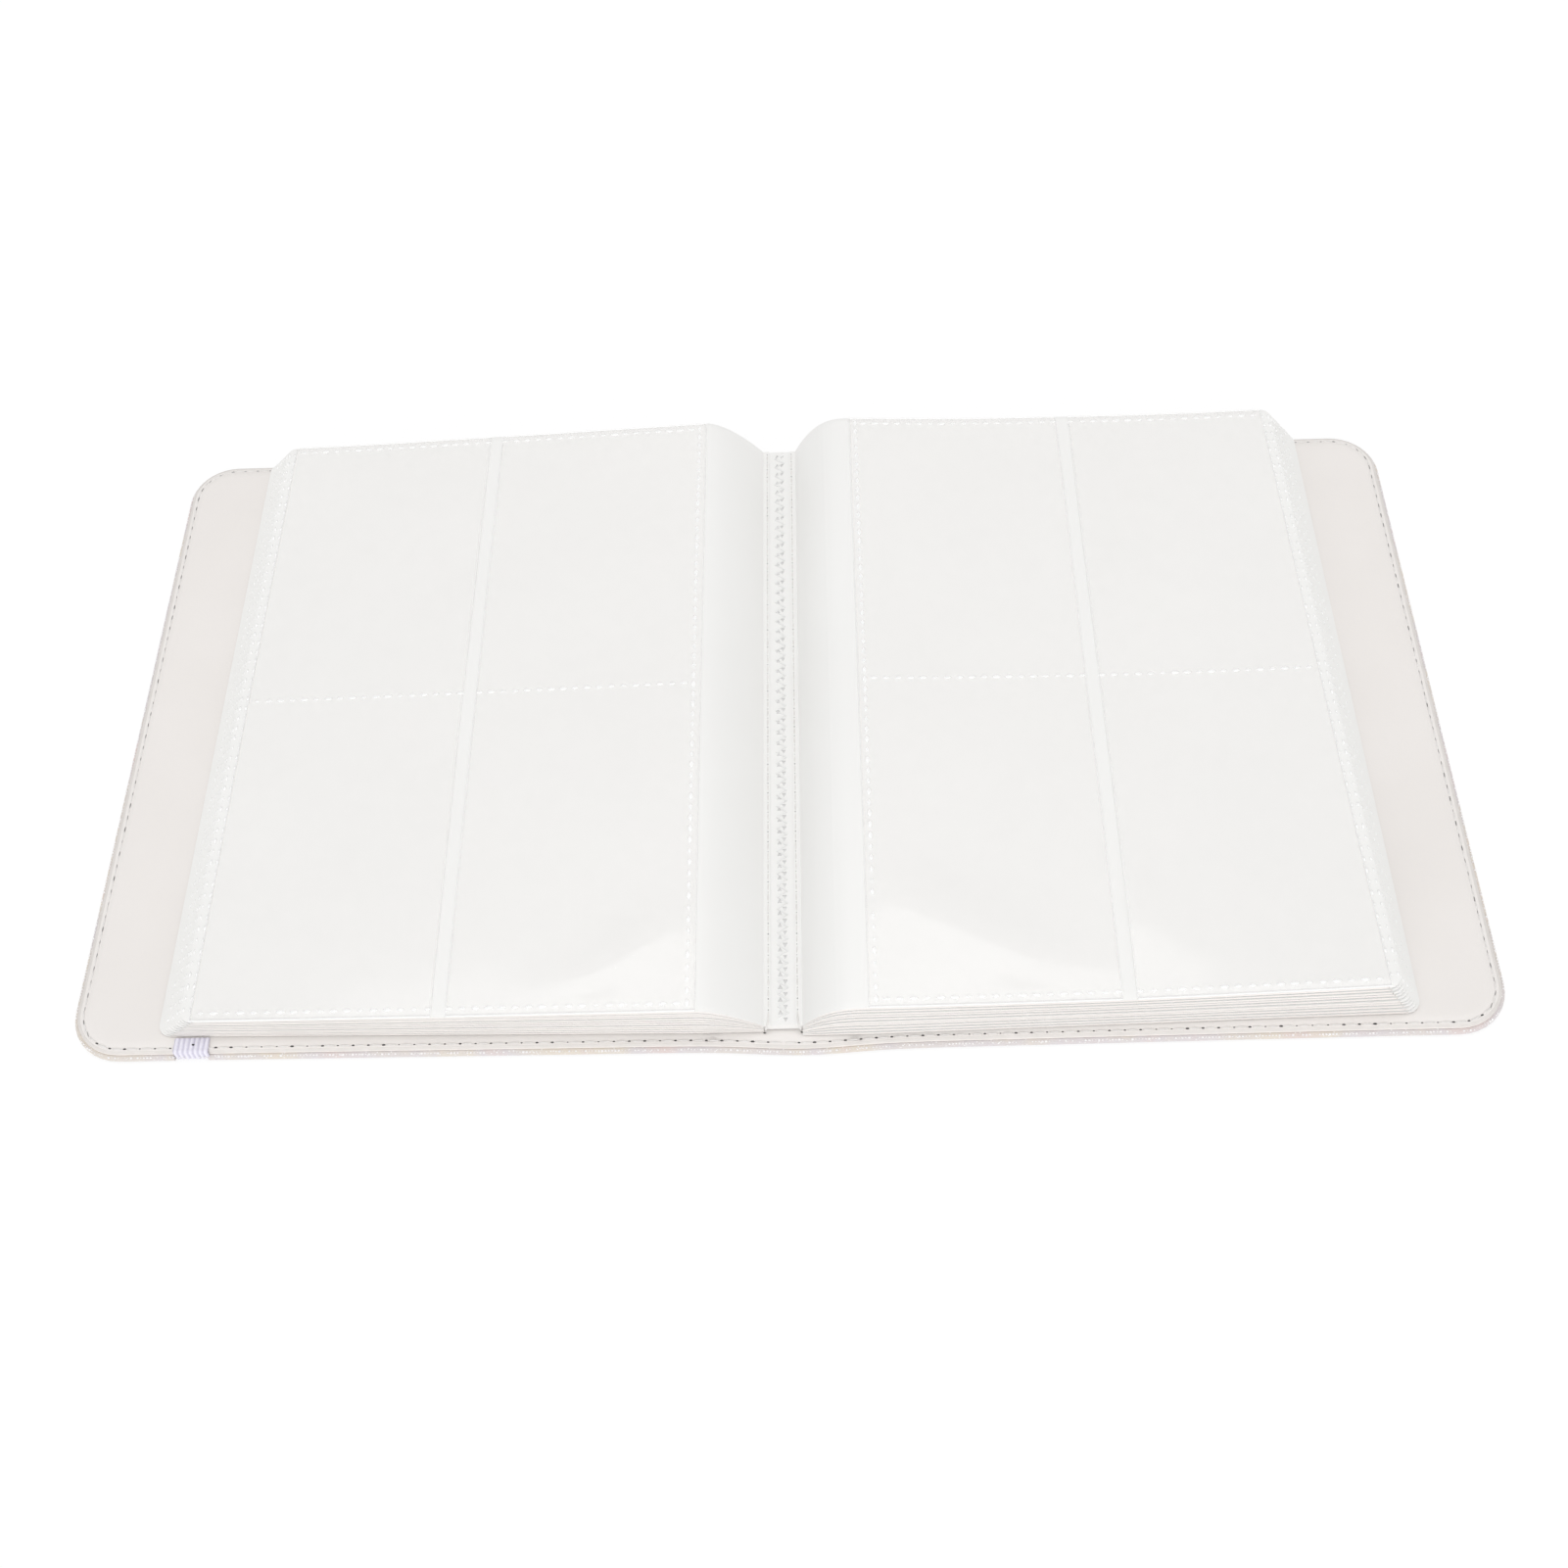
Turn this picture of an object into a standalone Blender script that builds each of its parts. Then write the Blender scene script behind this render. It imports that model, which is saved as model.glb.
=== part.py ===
# A photo album with clear pocket leaves, lying open: padded covers, spine, sewn-in leaves, elastic band.
# Metres, +Z up. +X is the reader's right, +Y points away from the reader.
# The origin is on the table under the middle of the spine.
import math

import bmesh
import bpy
from mathutils import Vector

# Pockets and leaves
POCKET_WIDTH = 0.0575       # takes a picture 54 to 56 mm wide
POCKET_HEIGHT = 0.090       # takes a picture 85 to 88 mm high
WELD = 0.002                # width of a welded seam in the film
MOUTH_GAP = 0.0045          # between the mouths of the two pocket columns
LEAF_EDGE = 0.00125         # film outside the welds at head and tail
FORE_EDGE = 0.0015          # film outside the weld at the fore edge
FORE_STEP = 0.0070          # how much further out the lowest leaf reaches than the top one
LEAF_CORNER = 0.003
ROOT_REACH = 0.0205         # middle of the spine to the crease beside the pockets
LEAVES_PER_SIDE = 10
TURNING_LEAVES = 3          # top leaves on the right that turn by themselves
LEAF = 0.00055              # backing sheet with the film of both faces
LEAF_PITCH = 0.00150        # from leaf to leaf at the crease
FORE_PITCH_LEFT = 0.00070   # from leaf to leaf at the fore edge
FORE_PITCH_RIGHT = 0.00120
FILM = 0.00012              # loose pocket film on the two leaves that show
POCKET_SPACE = 0.0003       # between that film and its backing

# Covers
SKIN = 0.0013               # outer skin with its padding
SPINE_SKIN = 0.0008
BOARD = 0.0012
LINING = 0.0007
PARTING_HEIGHT = 0.0017     # where skin and lining meet along the sewn edge
EDGE_WIDTH = 0.0045         # sewn edge outside the board
CORNER_RADIUS = 0.013
TAIL_MARGIN = 0.00325       # cover outside the leaves at head and tail
FORE_MARGIN = 0.0023        # cover outside the leaves at the fore edge, when shut
SEAM_INSET = 0.0024
SEAM_THREAD = 0.0005
SEAM_GROOVE = 0.00045       # how deep the stitches pull into the lining

# Binding
STRIP_WIDTH = 0.0092        # welded middle of all the leaves
SHEET = 0.00022             # one leaf's share of the strip's thickness
SEWING_SPACING = 0.0070     # between the two sewn lines
SEWING_THREAD = 0.0006
PAGE_PIVOT = 0.0084         # from the middle to the line that each half of the leaves turns on
ROOT_BASE = 0.0006          # where the roots of one half are welded together
ROOT_FILL = 0.5             # share of the spacing between roots that their film fills

# Elastic band round the back cover
BAND_WIDTH = 0.0080
BAND = 0.0007
BAND_FROM_FORE_EDGE = 0.0310

# Clearances
LAYER_GAP = 0.0001          # between laminated or welded layers
SEAT_GAP = 0.0003           # between pieces that only lie on each other
BAND_GAP = 0.00015
HINGE_GAP = 0.00002         # left between skin edges at the end of a hinge's travel
CENTRE_GAP = 0.001          # each half's distance from the middle when shut, room for pictures

# Sizes that follow
COVER = SKIN + BOARD + LINING + 2 * LAYER_GAP
SEAM_Z = COVER - SEAM_GROOVE + LAYER_GAP + SEAM_THREAD / 2
HINGE_Z = SPINE_SKIN / 2
STACK_Z = COVER + SEAT_GAP
STACK = (LEAVES_PER_SIDE - 1) * LEAF_PITCH + LEAF + POCKET_SPACE + FILM
HINGE_X = COVER - HINGE_Z + SEAT_GAP + STACK + CENTRE_GAP
PIVOT_Z = HINGE_Z + HINGE_X - PAGE_PIVOT
LEAF_HEIGHT = 2 * POCKET_HEIGHT + 3 * WELD + 2 * LEAF_EDGE
LEAF_OUT = ROOT_REACH + 2 * POCKET_WIDTH + 2 * WELD + MOUTH_GAP + FORE_EDGE
COVER_HEIGHT = LEAF_HEIGHT + 2 * TAIL_MARGIN
FORE_X = HINGE_X + PIVOT_Z - HINGE_Z + LEAF_OUT + FORE_STEP - PAGE_PIVOT + FORE_MARGIN
SKIN_END = HINGE_Z + HINGE_GAP
SPINE_HALF = HINGE_X - (COVER - HINGE_Z) - 2 * LAYER_GAP
COVER_START = HINGE_X + SKIN_END + 2 * LAYER_GAP
SEAM_START = HINGE_X + COVER - HINGE_Z + SEAT_GAP     # clears the spine when the album is shut
BAND_X = -(FORE_X - BAND_FROM_FORE_EDGE)
STRIP_Z = STACK_Z + LEAVES_PER_SIDE * SHEET
TURN_X = STRIP_WIDTH / 2 + LAYER_GAP
FORE_PITCH = {-1: FORE_PITCH_LEFT, 1: FORE_PITCH_RIGHT}
FOLD_Z = STACK_Z + (LEAVES_PER_SIDE - 1) * LEAF_PITCH + LEAF / 2

ARC_STEPS = 8
ROOT_STEPS = 9

# How fast a leaf climbs out of the gutter on each side: a higher power stands steeper at the sewing
ROOT_POWER = {-1: 2.2, 1: 3.2}

COLOURS = {
    "skin": (0.83, 0.78, 0.80, 1.0),
    "lining": (0.83, 0.80, 0.77, 1.0),
    "board": (0.62, 0.58, 0.52, 1.0),
    "film": (0.90, 0.89, 0.87, 0.6),
    "thread": (0.88, 0.87, 0.85, 1.0),
    "elastic": (0.82, 0.79, 0.86, 1.0),
}
ROUGHNESS = {"skin": 0.45, "lining": 0.55, "board": 0.9, "film": 0.2, "thread": 0.7, "elastic": 0.8}


def clear_scene():
    for old in list(bpy.data.objects):
        bpy.data.objects.remove(old, do_unlink=True)


def make_material(name, kind):
    material = bpy.data.materials.new(name)
    material.use_nodes = True
    shader = material.node_tree.nodes["Principled BSDF"]
    shader.inputs["Base Color"].default_value = COLOURS[kind]
    shader.inputs["Roughness"].default_value = ROUGHNESS[kind]
    shader.inputs["Metallic"].default_value = 0.0
    shader.inputs["Alpha"].default_value = COLOURS[kind][3]
    return material


def joint_axis(name, x, z, parent=None):
    axis = bpy.data.objects.new(name, None)
    bpy.context.scene.collection.objects.link(axis)
    axis.location = Vector((x, 0, z)) - (parent["line"] if parent else Vector())
    axis.parent = parent["empty"] if parent else None
    return {"empty": axis, "line": Vector((x, 0, z))}


def add_object(name, data, kind, axis):
    piece = bpy.data.objects.new(name, data)
    bpy.context.scene.collection.objects.link(piece)
    data.materials.append(make_material(name, kind))
    if axis:
        piece.parent = axis["empty"]
        piece.location = -axis["line"]
    return piece


def drawn_solid(name, outline, travel):
    # A closed solid: a flat outline of points, drawn along a straight line
    shape = bmesh.new()
    base = shape.faces.new([shape.verts.new(point) for point in outline])
    drawn = bmesh.ops.extrude_face_region(shape, geom=[base])["geom"]
    ends = [item for item in drawn if isinstance(item, bmesh.types.BMVert)]
    bmesh.ops.translate(shape, verts=ends, vec=travel)
    bmesh.ops.recalc_face_normals(shape, faces=shape.faces)
    mesh = bpy.data.meshes.new(name)
    shape.to_mesh(mesh)
    shape.free()
    return mesh


def prism(name, outline, low, high):
    return drawn_solid(name, [(x, y, low) for x, y in outline], (0, 0, high - low))


def rounded_panel(side, near, far, half_height, radius):
    # Outline of one half: square corners at the spine, round ones at the fore edge
    points = [(side * near, -half_height)]
    for turn in (-1, 1):
        middle = Vector((far - radius, turn * (half_height - radius)))
        for step in range(ARC_STEPS + 1):
            share = step / ARC_STEPS if turn > 0 else 1 - step / ARC_STEPS
            angle = turn * share * math.pi / 2
            x = middle.x + radius * math.cos(angle)
            points.append((side * x, middle.y + radius * math.sin(angle)))
    points.append((side * near, half_height))
    return points


def rectangle(low_x, high_x, half_height):
    return [(low_x, -half_height), (high_x, -half_height), (high_x, half_height), (low_x, half_height)]


def cut(piece, mesh):
    cutter = bpy.data.objects.new(piece.name + "_cutter", mesh)
    bpy.context.scene.collection.objects.link(cutter)
    cutter.hide_render = True
    cutter.display_type = "WIRE"
    cutter.parent = piece.parent
    cutter.location = piece.location
    boolean = piece.modifiers.new("recess", "BOOLEAN")
    boolean.operation = "DIFFERENCE"
    boolean.solver = "EXACT"
    boolean.object = cutter


def tube(name, points, diameter, kind, axis):
    curve = bpy.data.curves.new(name, "CURVE")
    curve.dimensions = "3D"
    curve.bevel_depth = diameter / 2
    curve.bevel_resolution = 1
    curve.use_fill_caps = True
    spline = curve.splines.new("POLY")
    spline.points.add(len(points) - 1)
    for point, place in zip(spline.points, points):
        point.co = (*place, 1.0)
    return add_object(name, curve, kind, axis)


def cover_half(name, side, axis):
    half = COVER_HEIGHT / 2
    board_near = COVER_START + LAYER_GAP
    board_far = FORE_X - EDGE_WIDTH
    board_radius = max(CORNER_RADIUS - EDGE_WIDTH, EDGE_WIDTH / 4)
    recess_half = half - EDGE_WIDTH + LAYER_GAP
    recess = rounded_panel(side, HINGE_X, board_far + LAYER_GAP, recess_half, board_radius)
    board_low = SKIN + LAYER_GAP
    board_high = board_low + BOARD

    skin_outline = rounded_panel(side, HINGE_X + SKIN_END, FORE_X, half, CORNER_RADIUS)
    skin_mesh = prism(name + "_outer_skin", skin_outline, 0, PARTING_HEIGHT - LAYER_GAP / 2)
    skin = add_object(name + "_outer_skin", skin_mesh, "skin", axis)
    cut(skin, prism(name + "_skin_recess", recess, SKIN, COVER))

    lining_outline = rounded_panel(side, COVER_START, FORE_X, half, CORNER_RADIUS)
    lining_mesh = prism(name + "_lining", lining_outline, PARTING_HEIGHT + LAYER_GAP / 2, COVER)
    lining = add_object(name + "_lining", lining_mesh, "lining", axis)
    cut(lining, prism(name + "_lining_recess", recess, 0, COVER - LINING))

    board_outline = rounded_panel(side, board_near, board_far, half - EDGE_WIDTH, board_radius)
    add_object(name + "_board", prism(name + "_board", board_outline, board_low, board_high), "board", axis)
    cut(lining, seam_groove(name + "_seam_groove", side))
    return skin


def seam_groove(name, side):
    # A groove round the three free edges of one cover's lining
    reach = SEAM_THREAD / 2 + LAYER_GAP
    outline = []
    for inset in (SEAM_INSET - reach, SEAM_INSET + reach):
        near = SEAM_START - LAYER_GAP
        edge = rounded_panel(side, near, FORE_X - inset, COVER_HEIGHT / 2 - inset, CORNER_RADIUS - inset)
        outline = edge + outline[::-1]
    return prism(name, outline, COVER - SEAM_GROOVE, COVER + SEAM_GROOVE)


def cover_seam(name, side, axis):
    # The thread lies in its groove, and climbs over the elastic where it meets it
    over_z = COVER + BAND_GAP + BAND + LAYER_GAP + SEAM_THREAD / 2
    half = COVER_HEIGHT / 2 - SEAM_INSET
    line = rounded_panel(side, SEAM_START, FORE_X - SEAM_INSET, half, CORNER_RADIUS - SEAM_INSET)
    points = [(x, y, SEAM_Z) for x, y in line]
    if side < 0:
        rise = 2 * (BAND + BAND_GAP)
        clear = BAND_WIDTH / 2 + SEAM_THREAD
        hump = [(BAND_X + clear + rise, SEAM_Z), (BAND_X + clear, over_z)]
        hump += [(BAND_X - clear, over_z), (BAND_X - clear - rise, SEAM_Z)]
        tail = [(x, -half, z) for x, z in hump]
        head = [(x, half, z) for x, z in reversed(hump)]
        points = points[:1] + tail + points[1:-1] + head + points[-1:]
    tube(name + "_seam_thread", points, SEAM_THREAD, "thread", axis)


def elastic_band(skin, axis):
    # Runs across the outside in the channel that it presses into the padding, and is sewn down inside
    half = COVER_HEIGHT / 2
    tab_end = LEAF_HEIGHT / 2 + SEAT_GAP
    inner = half + BAND_GAP
    outer = inner + BAND
    tab_low = COVER + BAND_GAP
    tab_high = tab_low + BAND
    profile = [(-outer, 0), (outer, 0), (outer, tab_high), (tab_end, tab_high), (tab_end, tab_low)]
    profile += [(inner, tab_low), (inner, BAND), (-inner, BAND), (-inner, tab_low)]
    profile += [(-tab_end, tab_low), (-tab_end, tab_high), (-outer, tab_high)]
    side_x = BAND_X - BAND_WIDTH / 2
    mesh = drawn_solid("elastic_band", [(side_x, y, z) for y, z in profile], (BAND_WIDTH, 0, 0))
    add_object("elastic_band", mesh, "elastic", axis)
    reach = BAND_WIDTH / 2 + BAND_GAP
    channel = rectangle(BAND_X - reach, BAND_X + reach, outer)
    cut(skin, prism("band_channel", channel, -BAND, BAND + BAND_GAP))


def spine():
    half = COVER_HEIGHT / 2
    recess = rectangle(-SPINE_HALF - BOARD, SPINE_HALF + BOARD, half - EDGE_WIDTH + LAYER_GAP)
    board_low = SPINE_SKIN + LAYER_GAP
    board_high = COVER - LINING - LAYER_GAP
    reach = HINGE_X - SKIN_END
    skin_mesh = prism("spine_outer_skin", rectangle(-reach, reach, half), 0, SPINE_SKIN)
    add_object("spine_outer_skin", skin_mesh, "skin", None)
    lining_outline = rectangle(-SPINE_HALF, SPINE_HALF, half)
    lining_mesh = prism("spine_lining", lining_outline, SPINE_SKIN + LAYER_GAP, COVER)
    lining = add_object("spine_lining", lining_mesh, "lining", None)
    cut(lining, prism("spine_lining_recess", recess, 0, COVER - LINING))
    board_outline = rectangle(-SPINE_HALF + LAYER_GAP, SPINE_HALF - LAYER_GAP, half - EDGE_WIDTH)
    add_object("spine_board", prism("spine_board", board_outline, board_low, board_high), "board", None)

    run = SPINE_HALF - SEAM_THREAD
    groove = SEAM_THREAD / 2 + LAYER_GAP
    for name, y in (("head", half - SEAM_INSET), ("tail", SEAM_INSET - half)):
        outline = [(x, y + offset) for x, offset in rectangle(-HINGE_X, HINGE_X, groove)]
        cut(lining, prism("spine_seam_groove_" + name, outline, COVER - SEAM_GROOVE, COVER + SEAM_GROOVE))
        ends = [(-run, y, SEAM_Z), (0, y, SEAM_Z), (run, y, SEAM_Z)]
        tube("spine_seam_thread_" + name, ends, SEAM_THREAD, "thread", None)


def binding():
    half = LEAF_HEIGHT / 2
    strip = rectangle(-STRIP_WIDTH / 2, STRIP_WIDTH / 2, half)
    add_object("binding_strip", prism("binding_strip", strip, STACK_Z, STRIP_Z), "film", None)
    thread_z = STRIP_Z + LAYER_GAP + SEWING_THREAD / 2
    for name, side in (("left", -1), ("right", 1)):
        x = side * SEWING_SPACING / 2
        ends = [(x, -half, thread_z), (x, 0, thread_z), (x, half, thread_z)]
        tube("binding_thread_" + name, ends, SEWING_THREAD, "thread", None)


def leaf_low(side, number):
    # Heights of a leaf's underside at the crease and at the fore edge; leaf 1 is on top
    below = LEAVES_PER_SIDE - number
    return STACK_Z + below * LEAF_PITCH, STACK_Z + below * FORE_PITCH[side]


def slope_mesh(mesh, near, far, rise_near, rise_far):
    # Tilts a flat sheet so that it climbs from the crease to the fore edge
    for vertex in mesh.vertices:
        share = (abs(vertex.co.x) - near) / (far - near)
        vertex.co.z += rise_near + share * (rise_far - rise_near)


def leaf_name(side, number):
    return "{}_leaf_{:02d}".format("left" if side < 0 else "right", number)


def leaf_panel(side, number, axis):
    near = ROOT_REACH + LAYER_GAP
    low_near, low_far = leaf_low(side, number)
    out = LEAF_OUT + FORE_STEP * (number - 1) / (LEAVES_PER_SIDE - 1)
    outline = rounded_panel(side, near, out, LEAF_HEIGHT / 2, LEAF_CORNER)
    name = leaf_name(side, number)
    mesh = prism(name, outline, 0, LEAF)
    slope_mesh(mesh, near, out, low_near, low_far)
    add_object(name, mesh, "film", axis)


def pocket_films(side, axis):
    # The two columns of loose film on the leaf that shows, open towards each other
    near = ROOT_REACH + LAYER_GAP
    low_near, low_far = leaf_low(side, 1)
    lift = LEAF + POCKET_SPACE
    inner_end = ROOT_REACH + WELD + POCKET_WIDTH
    outer_start = inner_end + MOUTH_GAP
    half = LEAF_HEIGHT / 2 - LEAF_EDGE
    for column, start, end in (
        ("inner", near, inner_end),
        ("outer", outer_start, outer_start + POCKET_WIDTH + WELD),
    ):
        name = leaf_name(side, 1) + "_" + column + "_film"
        mesh = prism(name, rectangle(side * start, side * end, half), lift, lift + FILM)
        slope_mesh(mesh, near, LEAF_OUT, low_near, low_far)
        add_object(name, mesh, "film", axis)


def root_line(side, number):
    # Middle line of a leaf's root and its half thickness, from the sewing out to the crease
    weld_z = STACK_Z + (LEAVES_PER_SIDE - number + 0.5) * SHEET
    crease_z = leaf_low(side, number)[0] + LEAF / 2
    start = TURN_X + ROOT_BASE
    end = ROOT_REACH - LAYER_GAP
    line = []
    for step in range(ROOT_STEPS + 1):
        share = step / ROOT_STEPS
        climb = 1 - (1 - share) ** ROOT_POWER[side]
        spacing = SHEET + (LEAF_PITCH - SHEET) * climb
        half = ROOT_FILL * spacing / 2
        line.append((start + (end - start) * share, weld_z + (crease_z - weld_z) * climb, half))
    return line


def root_sides(side, number):
    line = root_line(side, number)
    under = [(side * x, z - half) for x, z, half in line]
    over = [(side * x, z + half) for x, z, half in line]
    return under, over


def leaf_roots(name, side, numbers, axis=None):
    # Roots that move together: one comb, welded along the sewing
    back = side * TURN_X
    profile = []
    for number in sorted(numbers, reverse=True):
        under, over = root_sides(side, number)
        profile += under + over[::-1]
    profile = [(back, profile[0][1])] + profile + [(back, profile[-1][1])]
    outline = [(x, -LEAF_HEIGHT / 2, z) for x, z in profile]
    add_object(name, drawn_solid(name, outline, (0, LEAF_HEIGHT, 0)), "film", axis)


def pages():
    halves = {
        -1: joint_axis("left_leaves_axis", -PAGE_PIVOT, PIVOT_Z),
        1: joint_axis("right_leaves_axis", PAGE_PIVOT, PIVOT_Z),
    }
    first_fixed = TURNING_LEAVES + 1
    for number in range(1, LEAVES_PER_SIDE + 1):
        leaf_panel(-1, number, halves[-1])
    for number in range(first_fixed, LEAVES_PER_SIDE + 1):
        leaf_panel(1, number, halves[1])
    leaf_roots("left_leaf_roots", -1, range(1, LEAVES_PER_SIDE + 1))
    leaf_roots("right_leaf_roots", 1, range(first_fixed, LEAVES_PER_SIDE + 1))
    pocket_films(-1, halves[-1])

    # The top leaves turn at the sewing, each with those above it; the uppermost also folds at its crease
    under = halves[1]
    for number in range(TURNING_LEAVES, 1, -1):
        under = joint_axis(leaf_name(1, number) + "_axis", TURN_X, STRIP_Z, under)
        leaf_panel(1, number, under)
        leaf_roots(leaf_name(1, number) + "_root", 1, [number])
    root = joint_axis(leaf_name(1, 1) + "_root_axis", TURN_X, STRIP_Z, under)
    leaf_roots(leaf_name(1, 1) + "_root", 1, [1], root)
    fold = joint_axis(leaf_name(1, 1) + "_axis", ROOT_REACH, FOLD_Z, root)
    leaf_panel(1, 1, fold)
    pocket_films(1, fold)


def covers():
    back = joint_axis("back_cover_axis", -HINGE_X, HINGE_Z)
    front = joint_axis("front_cover_axis", HINGE_X, HINGE_Z)
    back_skin = cover_half("back_cover", -1, back)
    cover_half("front_cover", 1, front)
    cover_seam("back_cover", -1, back)
    cover_seam("front_cover", 1, front)
    elastic_band(back_skin, back)


def main():
    clear_scene()
    spine()
    covers()
    binding()
    pages()
    print("open {:.1f} x {:.1f} mm".format(2000 * FORE_X, 1000 * COVER_HEIGHT))
    print("hinge lines at {:.2f}, {:.2f} mm".format(1000 * HINGE_X, 1000 * HINGE_Z))
    print("page pivots at {:.2f}, {:.2f} mm".format(1000 * PAGE_PIVOT, 1000 * PIVOT_Z))
    print("leaf turning line at {:.2f}, {:.2f} mm".format(1000 * TURN_X, 1000 * STRIP_Z))
    print("top leaf folds at {:.2f}, {:.3f} mm".format(1000 * ROOT_REACH, 1000 * FOLD_Z))


main()
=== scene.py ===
import math
import random
import bpy
import bmesh
from mathutils import Matrix, Vector, noise


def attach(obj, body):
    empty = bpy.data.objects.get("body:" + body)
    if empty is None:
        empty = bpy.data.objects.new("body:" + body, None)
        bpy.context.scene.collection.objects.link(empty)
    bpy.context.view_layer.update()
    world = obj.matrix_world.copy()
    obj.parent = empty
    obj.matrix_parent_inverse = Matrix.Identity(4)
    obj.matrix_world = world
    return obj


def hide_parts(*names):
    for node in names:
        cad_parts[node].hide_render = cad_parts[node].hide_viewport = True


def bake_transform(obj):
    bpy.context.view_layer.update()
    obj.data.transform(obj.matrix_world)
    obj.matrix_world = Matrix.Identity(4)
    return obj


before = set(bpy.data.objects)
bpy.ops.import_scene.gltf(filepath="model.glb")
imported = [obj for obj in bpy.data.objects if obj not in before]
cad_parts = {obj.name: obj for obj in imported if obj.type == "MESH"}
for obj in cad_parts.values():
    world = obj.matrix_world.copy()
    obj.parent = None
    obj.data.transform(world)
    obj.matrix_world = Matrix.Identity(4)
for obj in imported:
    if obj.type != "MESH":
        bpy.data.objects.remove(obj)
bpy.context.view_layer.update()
mm = 0.001
scene = bpy.context.scene
scene.view_settings.view_transform = "Standard"
print("frame loaded,", len(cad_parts), "nodes")


# Camera
cameraSet = dict(azimuth=2.46, elevation=56.25, roll=-3.40, distance=497.9,
                 target=(0.5, -20.3, 0), lens=43.08, sensor=36)


def addCamera(s):
    az, el, roll = (math.radians(s[k]) for k in ("azimuth", "elevation", "roll"))
    back = Vector((math.sin(az) * math.cos(el), -math.cos(az) * math.cos(el), math.sin(el)))
    right = Vector((math.cos(az), math.sin(az), 0))
    up = back.cross(right)
    across = right * math.cos(roll) + up * math.sin(roll)
    upwards = up * math.cos(roll) - right * math.sin(roll)
    place = Matrix.Translation((Vector(s["target"]) + back * s["distance"]) * mm)
    camera = bpy.data.objects.new("camera", bpy.data.cameras.new("camera"))
    camera.matrix_world = place @ Matrix((across, upwards, back)).transposed().to_4x4()
    camera.data.lens = s["lens"]
    camera.data.sensor_width = s["sensor"]
    scene.collection.objects.link(camera)
    scene.camera = camera


addCamera(cameraSet)


# Finishes
cell, cloudKind = "ShaderNodeTexVoronoi", "ShaderNodeTexNoise"


def addNode(tree, kind, inputs=None, **settings):
    node = tree.nodes.new(kind)
    for key, value in settings.items():
        setattr(node, key, value)
    for key, value in (inputs or {}).items():
        node.inputs[key].default_value = value
    return node


def textured(tree, place, kind, inputs, **settings):
    node = addNode(tree, kind, inputs, **settings)
    tree.links.new(place, node.inputs["Vector"])
    return node


def ranged(tree, value, inputs):
    node = addNode(tree, "ShaderNodeMapRange", inputs)
    tree.links.new(value, node.inputs["Value"])
    return node.outputs["Result"]


def mixed(tree, factor, first, second):
    node = addNode(tree, "ShaderNodeMixShader")
    for i, socket in enumerate((factor, first.outputs[0], second.outputs[0])):
        tree.links.new(socket, node.inputs[i])
    return node


def bareTree(holder):
    # A material's or a world's node tree with nothing in it
    holder.use_nodes = True
    holder.node_tree.nodes.clear()
    return holder.node_tree


def surfaced(tree, shader, kind="ShaderNodeOutputMaterial"):
    tree.links.new(shader.outputs[0], addNode(tree, kind).inputs["Surface"])


def finish(name, roughness, inputs=None):
    made = bpy.data.materials.new(name)
    made.use_nodes = True
    shader = made.node_tree.nodes["Principled BSDF"]
    shader.inputs["Roughness"].default_value = roughness
    for key, value in (inputs or {}).items():
        shader.inputs[key].default_value = value
    place = addNode(made.node_tree, "ShaderNodeTexCoord")
    return made, made.node_tree, shader, place.outputs["Object"]


def mottle(tree, place, shader, scale, colours, detail=3, distortion=0.0):
    # Colour that drifts over the surface, spread over the middle of the noise
    cloud = textured(tree, place, cloudKind, {"Scale": scale, "Detail": detail, "Distortion": distortion})
    ramp = addNode(tree, "ShaderNodeValToRGB")
    stops = ramp.color_ramp.elements
    start, span = 0.3, 0.4
    for i, colour in enumerate(colours):
        at = start + span * i / (len(colours) - 1)
        stop = stops[i] if i < 2 else stops.new(at)
        stop.position = at
        stop.color = (*colour, 1)
    tree.links.new(cloud.outputs["Fac"], ramp.inputs["Fac"])
    tree.links.new(ramp.outputs["Color"], shader.inputs["Base Color"])


def grain(tree, place, shader, layers, strength, depth):
    # Fine relief: a sum of cell and noise layers as (kind, scale, weight)
    total = None
    for kind, scale, weight in layers:
        layer = textured(tree, place, kind, {"Scale": scale})
        scaled = addNode(tree, "ShaderNodeMath", {1: weight}, operation="MULTIPLY")
        tree.links.new(layer.outputs[0], scaled.inputs[0])
        if total is not None:
            both = addNode(tree, "ShaderNodeMath", operation="ADD")
            tree.links.new(total, both.inputs[0])
            tree.links.new(scaled.outputs[0], both.inputs[1])
            scaled = both
        total = scaled.outputs[0]
    bump = addNode(tree, "ShaderNodeBump", {"Strength": strength, "Distance": depth * mm})
    tree.links.new(total, bump.inputs["Height"])
    tree.links.new(bump.outputs["Normal"], shader.inputs["Normal"])
    return bump


def gloss(tree, place, shader, scale, low, high):
    cloud = textured(tree, place, cloudKind, {"Scale": scale, "Detail": 4.0})
    spread = ranged(tree, cloud.outputs["Fac"], {"To Min": low, "To Max": high})
    tree.links.new(spread, shader.inputs["Roughness"])


def liningFinish():
    made, tree, shader, place = finish("lining_leathercloth", 0.5, {"Specular IOR Level": 0.32})
    mottle(tree, place, shader, 22, [(0.815, 0.782, 0.757), (0.83, 0.797, 0.772), (0.845, 0.813, 0.79)])
    layers = [(cell, 1300, 0.7), (cloudKind, 2600, 0.5), (cloudKind, 160, 0.6)]
    grain(tree, place, shader, layers, 0.35, 0.05)
    gloss(tree, place, shader, 60, 0.35, 0.65)
    return made


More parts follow.
